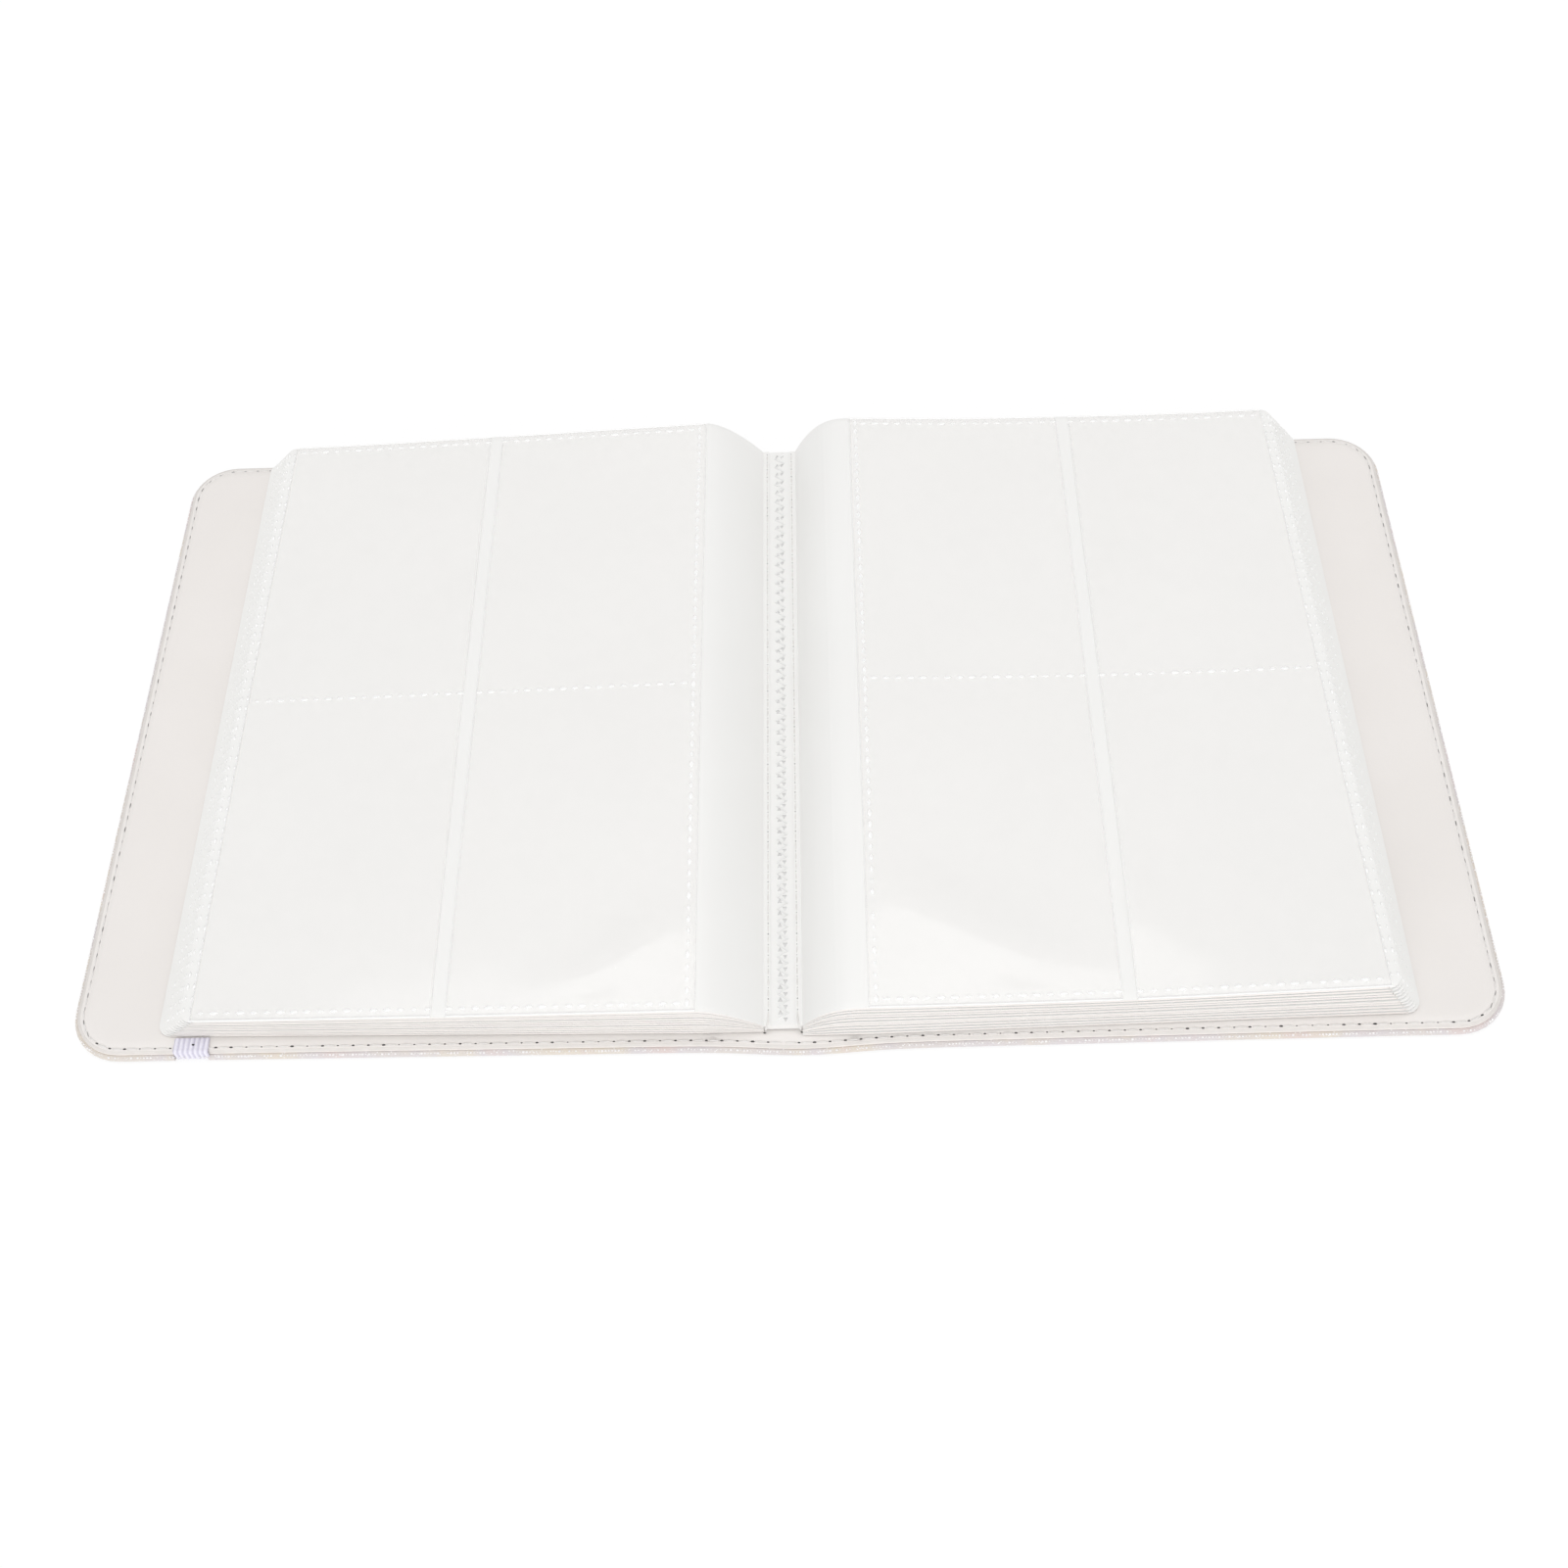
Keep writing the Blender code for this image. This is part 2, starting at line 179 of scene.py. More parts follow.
def skinFinish():
    # Pearly colours that drift, with small pale specks
    made, tree, shader, place = finish("cover_pearl_leathercloth", 0.36, {
        "Specular IOR Level": 0.5, "Coat Weight": 0.2, "Coat Roughness": 0.2, "Sheen Weight": 0.05})
    pearl = [(0.72, 0.60, 0.568), (0.67, 0.63, 0.645), (0.72, 0.66, 0.578), (0.71, 0.60, 0.578)]
    mottle(tree, place, shader, 45, pearl, detail=4, distortion=0.5)
    specks = textured(tree, place, cell, {"Scale": 1100.0})
    spot = ranged(tree, specks.outputs["Distance"], {"From Min": 0.22, "From Max": 0.12})
    blend = addNode(tree, "ShaderNodeMix", data_type="RGBA")
    blend.inputs[7].default_value = (0.9, 0.9, 0.9, 1)
    tree.links.new(spot, blend.inputs["Factor"])
    tree.links.new(shader.inputs["Base Color"].links[0].from_socket, blend.inputs[6])
    tree.links.new(blend.outputs[2], shader.inputs["Base Color"])
    grain(tree, place, shader, [(cell, 900, 0.9), (cloudKind, 2200, 0.5)], 0.55, 0.09)
    gloss(tree, place, shader, 700, 0.12, 0.6)
    return made


def leafFinish(name, low, high):
    made, tree, shader, place = finish(name, 0.3, {"Specular IOR Level": 0.35})
    mottle(tree, place, shader, 30, [low, high])
    grain(tree, place, shader, [(cloudKind, 120, 1.0), (cloudKind, 1500, 0.12)], 0.25, 0.06)
    gloss(tree, place, shader, 90, 0.26, 0.38)
    return made


def clearFinish(name, haze, reflection, roughness):
    # Clear film: what is under it shows through, its gloss follows Fresnel
    made = bpy.data.materials.new(name)
    tree = bareTree(made)
    place = addNode(tree, "ShaderNodeTexCoord").outputs["Object"]
    through = addNode(tree, "ShaderNodeBsdfTransparent", {"Color": (1.0, 1.0, 0.998, 1)})
    milk = addNode(tree, "ShaderNodeBsdfDiffuse", {"Color": (0.972, 0.963, 0.954, 1)})
    shine = addNode(tree, "ShaderNodeBsdfGlossy", {"Color": (1, 1, 1, 1), "Roughness": roughness})
    bump = grain(tree, place, shine, [(cloudKind, 90, 1.0), (cloudKind, 700, 0.1)], 0.3, 0.08)
    clouds = textured(tree, place, cloudKind, {"Scale": 45.0, "Detail": 2.0})
    hazy = ranged(tree, clouds.outputs["Fac"], {"To Min": haze * 0.9, "To Max": haze * 1.1})
    body = mixed(tree, hazy, through, milk)
    facing = addNode(tree, "ShaderNodeLayerWeight", {"Blend": 0.5})
    tree.links.new(bump.outputs["Normal"], facing.inputs["Normal"])
    steep = addNode(tree, "ShaderNodeMath", {1: 5.0}, operation="POWER")
    tree.links.new(facing.outputs["Facing"], steep.inputs[0])
    edge = ranged(tree, steep.outputs[0], {"To Min": reflection[0], "To Max": reflection[1]})
    surfaced(tree, mixed(tree, edge, body, shine))
    return made


def plainFinish(name, colours, scale, roughness, grains, strength, depth, inputs=None):
    # Noise at one or two scales, the second one weaker
    layers = [(cloudKind, *layer) for layer in zip(grains, (1.0, 0.4))]
    made, tree, shader, place = finish(name, roughness, inputs)
    mottle(tree, place, shader, scale, colours)
    grain(tree, place, shader, layers, strength, depth)
    return made


def elasticFinish():
    # Lighter on the ribs than between them: painted shade in the grooves and painted light on the ribs
    made, tree, shader, place = finish("elastic_webbing", 0.62, {"Sheen Weight": 0.15,
                                                                 "Specular IOR Level": 0.3})
    ribs = addNode(tree, "ShaderNodeAttribute", attribute_name="rib")
    paintedRibShade = addNode(tree, "ShaderNodeValToRGB")
    between, onRib = paintedRibShade.color_ramp.elements
    # Painted shade between the ribs, painted light on them
    between.position, onRib.position = 0.05, 0.8
    between.color, onRib.color = (0.62, 0.60, 0.71, 1), (0.83, 0.81, 0.90, 1)
    tree.links.new(ribs.outputs["Fac"], paintedRibShade.inputs["Fac"])
    tree.links.new(paintedRibShade.outputs["Color"], shader.inputs["Base Color"])
    weave = textured(tree, place, "ShaderNodeTexWave", {"Scale": 360.0, "Distortion": 1.2, "Detail": 1.0},
                     wave_type="BANDS", bands_direction="Y")
    bump = addNode(tree, "ShaderNodeBump", {"Strength": 0.5, "Distance": 0.08 * mm})
    tree.links.new(weave.outputs["Fac"], bump.inputs["Height"])
    tree.links.new(bump.outputs["Normal"], shader.inputs["Normal"])
    return made


liningCloth = liningFinish()
pearlCloth = skinFinish()
milkyFilm = leafFinish("leaf_milky_film", (0.868, 0.863, 0.848), (0.880, 0.876, 0.862))
# Leaf under the pocket films, paler than the rest of the leaf: painted light that makes up for the light
# the film takes away
pocketBackLit = leafFinish("pocket_back_painted_light", (0.912, 0.904, 0.897), (0.924, 0.916, 0.909))
clearFilm = clearFinish("pocket_clear_film", 0.29, (0.019, 0.85), 0.08)
filmUnder = clearFinish("pocket_film_underside", 0.01, (0.0, 0.2), 0.2)
# Edges of the clear films drawn opaque and near white: a painted highlight where the clear edge catches the
# light
filmEdgeHighlight = plainFinish("film_edge_painted_highlight", [(0.93, 0.93, 0.925), (0.96, 0.96, 0.955)], 300, 0.15,
                       [900], 0.2, 0.03, {"Specular IOR Level": 0.7})
# Near and far ends of the leaves, warmer and a little darker than the leaf: painted warm shade
leafEndShade = plainFinish("leaf_end_painted_shade", [(0.86, 0.815, 0.785), (0.89, 0.85, 0.82)], 60, 0.4,
                       [700], 0.2, 0.04)
weldBead = plainFinish("weld_bead", [(0.93, 0.93, 0.92), (0.96, 0.96, 0.955)], 500, 0.1,
                       [1200], 0.2, 0.03, {"Specular IOR Level": 0.8})
weldRim = plainFinish("weld_rim", [(0.91, 0.905, 0.895), (0.945, 0.94, 0.93)], 500, 0.25,
                      [1200], 0.2, 0.03)
# Grey weld marks on the hidden pages: painted shade where the welds' tiny shadows fall
pageWeldShade = plainFinish("page_weld_painted_shade", [(0.72, 0.715, 0.705), (0.79, 0.785, 0.775)], 500, 0.2,
                       [1200], 0.2, 0.03)
pearlGlint = plainFinish("pearl_glint", [(0.90, 0.87, 0.88), (0.95, 0.95, 0.95)], 900, 0.08,
                         [2500], 0.3, 0.03, {"Specular IOR Level": 0.9})
# The lining's edge: darker on the shoulder that faces up and lighter on the foot down in the groove,
# painted shade and painted light rather than the cloth's colour
liningShoulderShade = plainFinish("lining_shoulder_painted_shade", [(0.70, 0.67, 0.64), (0.75, 0.715, 0.69)], 300, 0.7,
                        [1500, 5000], 0.4, 0.05)
liningFootLight = plainFinish("lining_foot_painted_light", [(0.85, 0.81, 0.775), (0.91, 0.87, 0.835)], 300, 0.7,
                         [1500, 5000], 0.4, 0.05)
seamYarn = plainFinish("seam_yarn", [(0.72, 0.70, 0.68), (0.82, 0.80, 0.78)], 900, 0.6,
                       [5000], 0.5, 0.05, {"Sheen Weight": 0.2})
# Dark bumps in the needle holes are painted shade: darkest in the holes on the near edge, the band and the
# binding tails, paler along the sides, palest at the far edge and along the binding
needleHoleShade = plainFinish("needle_hole_painted_shade", [(0.02, 0.02, 0.02), (0.12, 0.115, 0.11)], 260, 0.8,
                         [3000], 0.3, 0.03)
sideHoleShade = plainFinish("side_needle_hole", [(0.10, 0.098, 0.095), (0.44, 0.43, 0.42)], 260, 0.8,
                       [3000], 0.3, 0.03)
faintHoleShade = plainFinish("binding_hole_painted_shade", [(0.36, 0.355, 0.35), (0.55, 0.545, 0.54)], 260, 0.7,
                        [3000], 0.3, 0.03)
pressedMark = plainFinish("pressed_mark", [(0.60, 0.595, 0.59), (0.72, 0.715, 0.71)], 500, 0.35,
                          [900], 0.3, 0.03)
elasticWeb = elasticFinish()
greyCard = plainFinish("cover_board", [(0.42, 0.39, 0.35), (0.50, 0.47, 0.43)], 160, 0.85,
                       [900, 4000], 0.4, 0.06)
print("finishes made")


# Making meshes
crispAngle = math.radians(50)


def addObject(name, mesh):
    made = bpy.data.objects.new(name, mesh)
    scene.collection.objects.link(made)
    return made


def addPiece(name, points, faces, finishes, faceFinish=None, merge=0.0, crispFinishes=False):
    mesh = bpy.data.meshes.new(name)
    mesh.from_pydata([Vector(p) * mm for p in points], [], faces)
    for one in finishes:
        mesh.materials.append(one)
    if faceFinish:
        mesh.polygons.foreach_set("material_index", faceFinish)
    shape = bmesh.new()
    shape.from_mesh(mesh)
    if merge:
        bmesh.ops.remove_doubles(shape, verts=shape.verts, dist=merge * mm)
    bmesh.ops.recalc_face_normals(shape, faces=shape.faces)
    for face in shape.faces:
        face.smooth = True
    for edge in shape.edges:  # a smooth surface with crisp cut edges
        cut = crispFinishes and len({face.material_index for face in edge.link_faces}) > 1
        edge.smooth = len(edge.link_faces) < 2 or not cut and edge.calc_face_angle() < crispAngle
    shape.to_mesh(mesh)
    shape.free()
    return addObject(name, mesh)


def sheetSolid(name, upper, lower, finishes):
    # A closed sheet from two matching grids of points, with finishes for its faces, sides and two ends
    rows, columns = len(upper), len(upper[0])
    points = [p for row in upper for p in row] + [p for row in lower for p in row]
    base = rows * columns
    faces = []
    for i in range(rows - 1):
        for j in range(columns - 1):
            a, d = i * columns + j, (i + 1) * columns + j
            faces += [(a, a + 1, d + 1, d), (base + d, base + d + 1, base + a + 1, base + a)]
    marks = [0] * len(faces)
    for j in range(columns - 1):
        for i in (0, rows - 1):
            a, b = i * columns + j, i * columns + j + 1
            faces.append((a, b, base + b, base + a))
            marks.append(min(1, len(finishes) - 1))
    for i in range(rows - 1):
        for j in (0, columns - 1):
            a, b = i * columns + j, (i + 1) * columns + j
            faces.append((a, b, base + b, base + a))
            marks.append(len(finishes) - 1)
    return addPiece(name, points, faces, finishes, marks, crispFinishes=True)


def ease(t):
    t = min(1.0, max(0.0, t))
    return t * t * (3 - 2 * t)


def hump(x, width):
    # 1 at the middle, falling away to both sides
    return math.exp(-(x / width) ** 2)


def arch(v):
    # 0 at both ends, 1 halfway
    return 4 * v * (1 - v)


def slowWave(x, y, scale, seed):
    return noise.noise(Vector((x * scale, y * scale, seed)))


def evenly(start, end, count):
    return [start + (end - start) * i / count for i in range(count + 1)]


# Node trees for what repeats
def newTree(name, sizes):
    tree = bpy.data.node_groups.new(name, "GeometryNodeTree")
    tree.interface.new_socket(name="Geometry", in_out="INPUT", socket_type="NodeSocketGeometry")
    for size in sizes:
        kind = "NodeSocketInt" if size in ("Around", "Rings", "Seed") else "NodeSocketFloat"
        tree.interface.new_socket(name=size, in_out="INPUT", socket_type=kind)
    tree.interface.new_socket(name="Material", in_out="INPUT", socket_type="NodeSocketMaterial")
    tree.interface.new_socket(name="Geometry", in_out="OUTPUT", socket_type="NodeSocketGeometry")
    return tree, tree.nodes.new("NodeGroupInput"), tree.nodes.new("NodeGroupOutput")


def endTree(tree, given, result, shape):
    # Made real, smooth and given its finish
    for kind in ("GeometryNodeRealizeInstances", "GeometryNodeSetShadeSmooth", "GeometryNodeSetMaterial"):
        step = addNode(tree, kind)
        tree.links.new(shape, step.inputs["Geometry"])
        shape = step.outputs["Geometry"]
    tree.links.new(given.outputs["Material"], step.inputs["Material"])
    tree.links.new(shape, result.inputs["Geometry"])
    return tree


def stitchRunTree():
    # A rounded bump at every pitch along each line, lying along it
    tree, given, result = newTree("run_of_bumps", ["Pitch", "Length", "Width", "Height", "Around", "Rings",
                                                   "Least", "Seed"])
    link = tree.links.new
    line = addNode(tree, "GeometryNodeMeshToCurve")
    spaced = addNode(tree, "GeometryNodeResampleCurve", mode="LENGTH")
    ball = addNode(tree, "GeometryNodeMeshUVSphere", {"Radius": 0.5})
    sizes = addNode(tree, "ShaderNodeCombineXYZ")
    shaped = addNode(tree, "GeometryNodeTransform")
    along = addNode(tree, "GeometryNodeInputTangent")
    turn = addNode(tree, "FunctionNodeAxesToRotation", primary_axis="X", secondary_axis="Z")
    turn.inputs[1].default_value = (0, 0, 1)
    vary = addNode(tree, "FunctionNodeRandomValue", data_type="FLOAT")
    least, most = [i for i in vary.inputs if i.type == "VALUE"][:2]
    most.default_value = 1.0
    placed = addNode(tree, "GeometryNodeInstanceOnPoints")
    link(given.outputs["Geometry"], line.inputs["Mesh"])
    link(line.outputs["Curve"], spaced.inputs["Curve"])
    link(given.outputs["Pitch"], spaced.inputs["Length"])
    link(given.outputs["Around"], ball.inputs["Segments"])
    link(given.outputs["Rings"], ball.inputs["Rings"])
    for name, axis in (("Length", "X"), ("Width", "Y"), ("Height", "Z")):
        link(given.outputs[name], sizes.inputs[axis])
    link(ball.outputs["Mesh"], shaped.inputs["Geometry"])
    link(sizes.outputs["Vector"], shaped.inputs["Scale"])
    link(along.outputs["Tangent"], turn.inputs[0])
    link(spaced.outputs["Curve"], placed.inputs["Points"])
    link(shaped.outputs["Geometry"], placed.inputs["Instance"])
    link(turn.outputs["Rotation"], placed.inputs["Rotation"])
    link(given.outputs["Least"], least)
    link(given.outputs["Seed"], vary.inputs["Seed"])
    link([o for o in vary.outputs if o.type == "VALUE"][0], placed.inputs["Scale"])
    return endTree(tree, given, result, placed.outputs["Instances"])


def ridgeTree():
    # A round ridge along each line
    tree, given, result = newTree("round_ridge", ["Radius", "Around"])
    link = tree.links.new
    line = addNode(tree, "GeometryNodeMeshToCurve")
    ring = addNode(tree, "GeometryNodeCurvePrimitiveCircle")
    swept = addNode(tree, "GeometryNodeCurveToMesh", {"Fill Caps": True})
    link(given.outputs["Geometry"], line.inputs["Mesh"])
    link(given.outputs["Around"], ring.inputs["Resolution"])
    link(given.outputs["Radius"], ring.inputs["Radius"])
    link(line.outputs["Curve"], swept.inputs["Curve"])
    link(ring.outputs["Curve"], swept.inputs["Profile Curve"])
    return endTree(tree, given, result, swept.outputs["Mesh"])


bumpRun, roundRidge = stitchRunTree(), ridgeTree()


def growAlong(name, lines, tree, sizes, material):
    # Lines in millimetres, run through a tree and turned into a plain mesh
    points, edges = [], []
    for line in lines:
        start = len(points)
        points += [Vector(p) * mm for p in line]
        edges += [(start + i, start + i + 1) for i in range(len(line) - 1)]
    path = bpy.data.meshes.new(name + "_path")
    path.from_pydata(points, edges, [])
    carrier = addObject(name + "_path", path)
    run = carrier.modifiers.new("run", "NODES")
    run.node_group = tree
    for socket in tree.interface.items_tree:
        if socket.in_out == "INPUT" and socket.name in sizes:
            size = sizes[socket.name]
            plain = isinstance(size, int) or socket.name == "Least"  # a count or a share, not a length
            run[socket.identifier] = size if plain else size * mm
        elif socket.in_out == "INPUT" and socket.name == "Material":
            run[socket.identifier] = material
    shown = carrier.evaluated_get(bpy.context.evaluated_depsgraph_get())
    mesh = bpy.data.meshes.new_from_object(shown)
    mesh.name = name
    carrier.modifiers.remove(run)
    bpy.data.objects.remove(carrier)
    bpy.data.meshes.remove(path)
    return addObject(name, mesh)


def joined(name, parts):
    # Several plain meshes as one piece
    shape = bmesh.new()
    for part in parts:
        shape.from_mesh(part.data)
    mesh = bpy.data.meshes.new(name)
    shape.to_mesh(mesh)
    shape.free()
    for one in parts[0].data.materials:
        mesh.materials.append(one)
    for part in parts:
        bpy.data.objects.remove(part)
    return addObject(name, mesh)


# Covers
halves = ((-1, "left", "back_cover"), (1, "right", "front_cover"))
coverSet = dict(foreX=175.54, halfHeight=97.5, corner=13.0, arcSteps=9, rows=26, merge=0.002,
                hingeX=18.77, bendStart=15.8, bendEnd=21.8, hingeZ=0.4,
                bulge=1.25, bulgeAt=5.0, bulgeWidth=16.0, bow=0.8, bowWidth=110.0, bowFrom=60,
                bandX=144.54, channel=4.15, channelDepth=0.85, pinch=0.85, touch=0.001,
                paintedEdgeInset=1.5, paintedFootZ=2.6, seamShift=(0.0, 0.8, 0.6), grip=((1.2, 0.5), (5.0, 2.0)),
                hingeStops=[0, 3, 6, 9, 12, 14, 15.2, 16.2, 17, 17.7, 18.3, 18.77, 19.3, 20, 20.8, 21.8,
                            23.5, 26, 30],
                panelStops=(36, 6.5, 20), edgeRoom=3, bandRoom=1, bandLip=0.02)
reliefSet = dict(flatEdge=3, edgeRise=8, liningAbove=2.8, crease=0.3, creaseX=17.6, creaseWidth=1.7,
                 liningWave=0.09, liningScale=0.03, liningSeed=1.7, skinBelow=1.2, skinInset=0.8,
                 groove=0.55, grooveWidth=1.3, skinWave=0.05, skinScale=0.05, skinSeed=5.1)
# Sections of the layers from the panel out to the edge, as (inset, height)
liningEdge = [(13.0, 3.40), (9.0, 3.42), (6.0, 3.44), (4.2, 3.44), (3.2, 3.40), (2.6, 3.26), (2.05, 3.12),
              (1.75, 3.20), (1.5, 3.17), (1.3, 3.05), (1.12, 2.84), (0.99, 2.5), (0.95, 2.15), (1.0, 1.92),
              (1.15, 1.80), (1.4, 1.76)]
liningBack = [(13.0, 2.72), (9.0, 2.72), (6.0, 2.72), (5.2, 2.70), (4.8, 2.4), (4.6, 1.9), (4.5, 1.78),
              (4.2, 1.76), (3.8, 1.76), (3.4, 1.76), (3.0, 1.76), (2.7, 1.76), (2.4, 1.76), (2.1, 1.76),
              (1.75, 1.76), (1.4, 1.76)]
skinFace = [(13.0, 0.0), (9.0, 0.0), (6.0, 0.0), (4.2, 0.02), (3.3, 0.08), (2.85, 0.16), (2.4, 0.22),
            (1.95, 0.16), (1.5, 0.09), (0.9, 0.10), (0.4, 0.16), (0.1, 0.32), (0.0, 0.6), (0.0, 1.2),
            (0.14, 1.58), (0.7, 1.74)]
skinBack = [(13.0, 1.28), (9.0, 1.28), (6.0, 1.28), (5.2, 1.30), (4.8, 1.4), (4.6, 1.62), (4.5, 1.72),
            (4.2, 1.74), (3.8, 1.74), (3.4, 1.74), (3.0, 1.74), (2.6, 1.74), (2.2, 1.74), (1.7, 1.74),
            (1.2, 1.74), (0.7, 1.74)]


def coverStops(s):
    # Where the mesh is cut across: closely at the hinge line, and on both sides of the band
    edge = s["foreX"] - s["corner"]
    start, step, count = s["panelStops"]
    inner, outer = s["bandX"] - s["channel"], s["bandX"] + s["channel"]
    panel = [start + step * i for i in range(count)]
    panel = [x for x in panel if x < edge - s["edgeRoom"]]
    panel = [x for x in panel if min(abs(x - inner), abs(x - outer)) > s["bandRoom"]]
    lips = [inner - s["bandLip"], inner, outer, outer + s["bandLip"]]
    return sorted(s["hingeStops"] + panel + lips + [edge])


def coverLoop(s, stops, rows, inset):
    # The seam and its groove lie further in along the side and the far edge than along the near one
    cx, cy = s["foreX"] - s["corner"], s["halfHeight"] - s["corner"]
    (gripFrom, gripRise), (gripTo, gripFall) = s["grip"]
    grip = ease((inset - gripFrom) / gripRise) * ease((gripTo - inset) / gripFall)
    near, side, far = (s["corner"] - inset - grip * shift for shift in s["seamShift"])
    shares = evenly(0, 1, s["arcSteps"])[1:]
    loop = [(x, -cy - near) for x in stops]
    for share in shares:
        turn, reach = math.pi / 2 * share, near + (side - near) * share
        loop.append((cx + reach * math.sin(turn), -cy - reach * math.cos(turn)))
    loop += [(cx + side, y) for y in rows[1:]]
    for share in shares:
        turn, reach = math.pi / 2 * share, side + (far - side) * share
        loop.append((cx + reach * math.cos(turn), cy + reach * math.sin(turn)))
    return loop + [(x, cy + far) for x in reversed(stops[:-1])]


def coverWarp(s, x, y):
    # The near edge bows out a little, most of all at the spine
    push = s["bulge"] * hump(x - s["bulgeAt"], s["bulgeWidth"]) + s["bow"] * hump(x, s["bowWidth"])
    return y - push * ease((-y - s["bowFrom"]) / (s["halfHeight"] - s["bowFrom"]))


def underBand(s, x):
    return x < 0 and abs(-x - s["bandX"]) <= s["channel"] + s["touch"]


def bandPinch(s, x, y):
    # The band draws the edges in a little where it passes round them
    limit = s["halfHeight"] - s["pinch"]
    return max(-limit, min(limit, y)) if underBand(s, x) else y


def coverShell(name, side, profile, back, relief, finishes):
    # A soft layer of one half; a second and a third finish are for the shoulder and the foot of its edge,
    # painted shade on the shoulder and painted light on the foot
    s = coverSet
    stops = coverStops(s)
    cy = s["halfHeight"] - s["corner"]
    rows = evenly(-cy, cy, s["rows"])
    points, faces, marks = [], [], []

    def sheet(sections, lastMark):
        loops = []
        for inset, z in sections:
            loop = [(side * x, y) for x, y in coverLoop(s, stops, rows, inset)]
            loops.append(range(len(points), len(points) + len(loop)))
            points.extend((x, bandPinch(s, x, coverWarp(s, x, y)), relief(x, y, inset, z)) for x, y in loop)
        for a, b, (inset, z) in zip(loops, loops[1:], sections):
            faces.extend((a[i], a[i + 1], b[i + 1], b[i]) for i in range(len(a) - 1))
            # Near the edge, faces above the split height get the painted shade and faces below it get the
            # painted light
            mark = 0 if inset > s["paintedEdgeInset"] else 1 if z > s["paintedFootZ"] else 2
            marks.extend([min(mark, lastMark)] * (len(a) - 1))
        start = len(points)
        z = sections[0][1]
        for x in (side * stop for stop in stops):
            points.extend((x, coverWarp(s, x, y), relief(x, y, s["corner"], z)) for y in rows)
        n = len(rows)
        for a in range(start, start + n * (len(stops) - 1), n):
            faces.extend((i, i + 1, i + n + 1, i + n) for i in range(a, a + n - 1))
            marks.extend([0] * (n - 1))
        return [l[0] for l in reversed(loops)] + list(range(start, start + n)) + [l[-1] for l in loops]
    upper, lower = sheet(profile, len(finishes) - 1), sheet(back, 0)
    faces.extend((upper[i], upper[i + 1], lower[i + 1], lower[i]) for i in range(len(upper) - 1))
    marks += [0] * (len(faces) - len(marks))
    return addPiece(name, points, faces, finishes, marks, merge=s["merge"])


def awayFromEdge(inset):
    return ease((inset - reliefSet["flatEdge"]) / reliefSet["edgeRise"])


def liningRelief(x, y, inset, z):
    # A crease along the hinge line, and a padded panel
    r = reliefSet
    if z < r["liningAbove"]:
        return z
    wave = r["liningWave"] * slowWave(x, y, r["liningScale"], r["liningSeed"])
    return z - r["crease"] * hump(abs(x) - r["creaseX"], r["creaseWidth"]) + wave * awayFromEdge(inset)


def skinRelief(x, y, inset, z):
    # A groove along the hinge line, a soft panel, and a channel for the band
    s, r = coverSet, reliefSet
    if z < r["skinBelow"] and inset > r["skinInset"]:
        z += r["groove"] * hump(abs(x) - s["hingeX"], r["grooveWidth"])
        z += r["skinWave"] * (slowWave(x, y, r["skinScale"], r["skinSeed"]) + 0.5) * awayFromEdge(inset)
        if underBand(s, x):
            z = max(z, s["channelDepth"])
    return z


def bendAtHinge(piece):
    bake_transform(piece)


def addCovers():
    for side, word, body in halves:
        lining = coverShell("cover_lining_" + word, side, liningEdge, liningBack, liningRelief,
                            [liningCloth, liningShoulderShade, liningFootLight])
        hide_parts(body + "_lining", "spine_lining")
        skin = coverShell("cover_skin_" + word, side, skinFace, skinBack, skinRelief, [pearlCloth])
        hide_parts(body + "_outer_skin", "spine_outer_skin")
        for piece in (lining, skin):
            bendAtHinge(piece)


addCovers()
print("covers made")


# Seam round the covers
seamSet = dict(inset=2.05, height=3.17, pitch=3.75, holeHeight=3.16, rows=40,
               spineStops=[1.5, 4.5, 7.5, 10.5],
               glintInset=0.35, glintHeight=1.66, glintPitch=0.8,
               slack=0.999,  # keeps the last bump of a run
               stitch=dict(Length=2.9, Width=0.5, Height=0.44, Around=8, Rings=5, Least=0.9, Seed=3),
               hole=dict(Length=1.0, Width=0.55, Height=0.36, Around=8, Rings=4, Least=0.4, Seed=5),
               sideHoleShade=dict(Length=2.1, Width=0.3, Height=0.36, Around=8, Rings=4, Least=0.45, Seed=6),
               glint=dict(Length=0.9, Width=0.7, Height=0.45, Around=6, Rings=3, Least=0.1, Seed=8))


def seamLines(side, inset, z):
    # A line round one half at an inset, as its near, side and far stretches
    s = coverSet
    stops = sorted(set(coverStops(s) + seamSet["spineStops"]))
    cy = s["halfHeight"] - s["corner"]
    loop = coverLoop(s, stops, evenly(-cy, cy, seamSet["rows"]), inset)
    line = [Vector((side * x, coverWarp(s, side * x, y), z)) for x, y in loop]
    turn = len(stops) + s["arcSteps"] // 2
    return line[:turn + 1], line[turn:-turn], line[-turn - 1:]


def trimmed(line, cut):
    # The line without a length at either end
    for _ in range(2):
        line = line[::-1]
        left = cut
        while left > 0:
            step = (line[1] - line[0]).length
            line = line[1:] if step <= left else [line[0].lerp(line[1], left / step)] + line[1:]
            left -= step
    return line


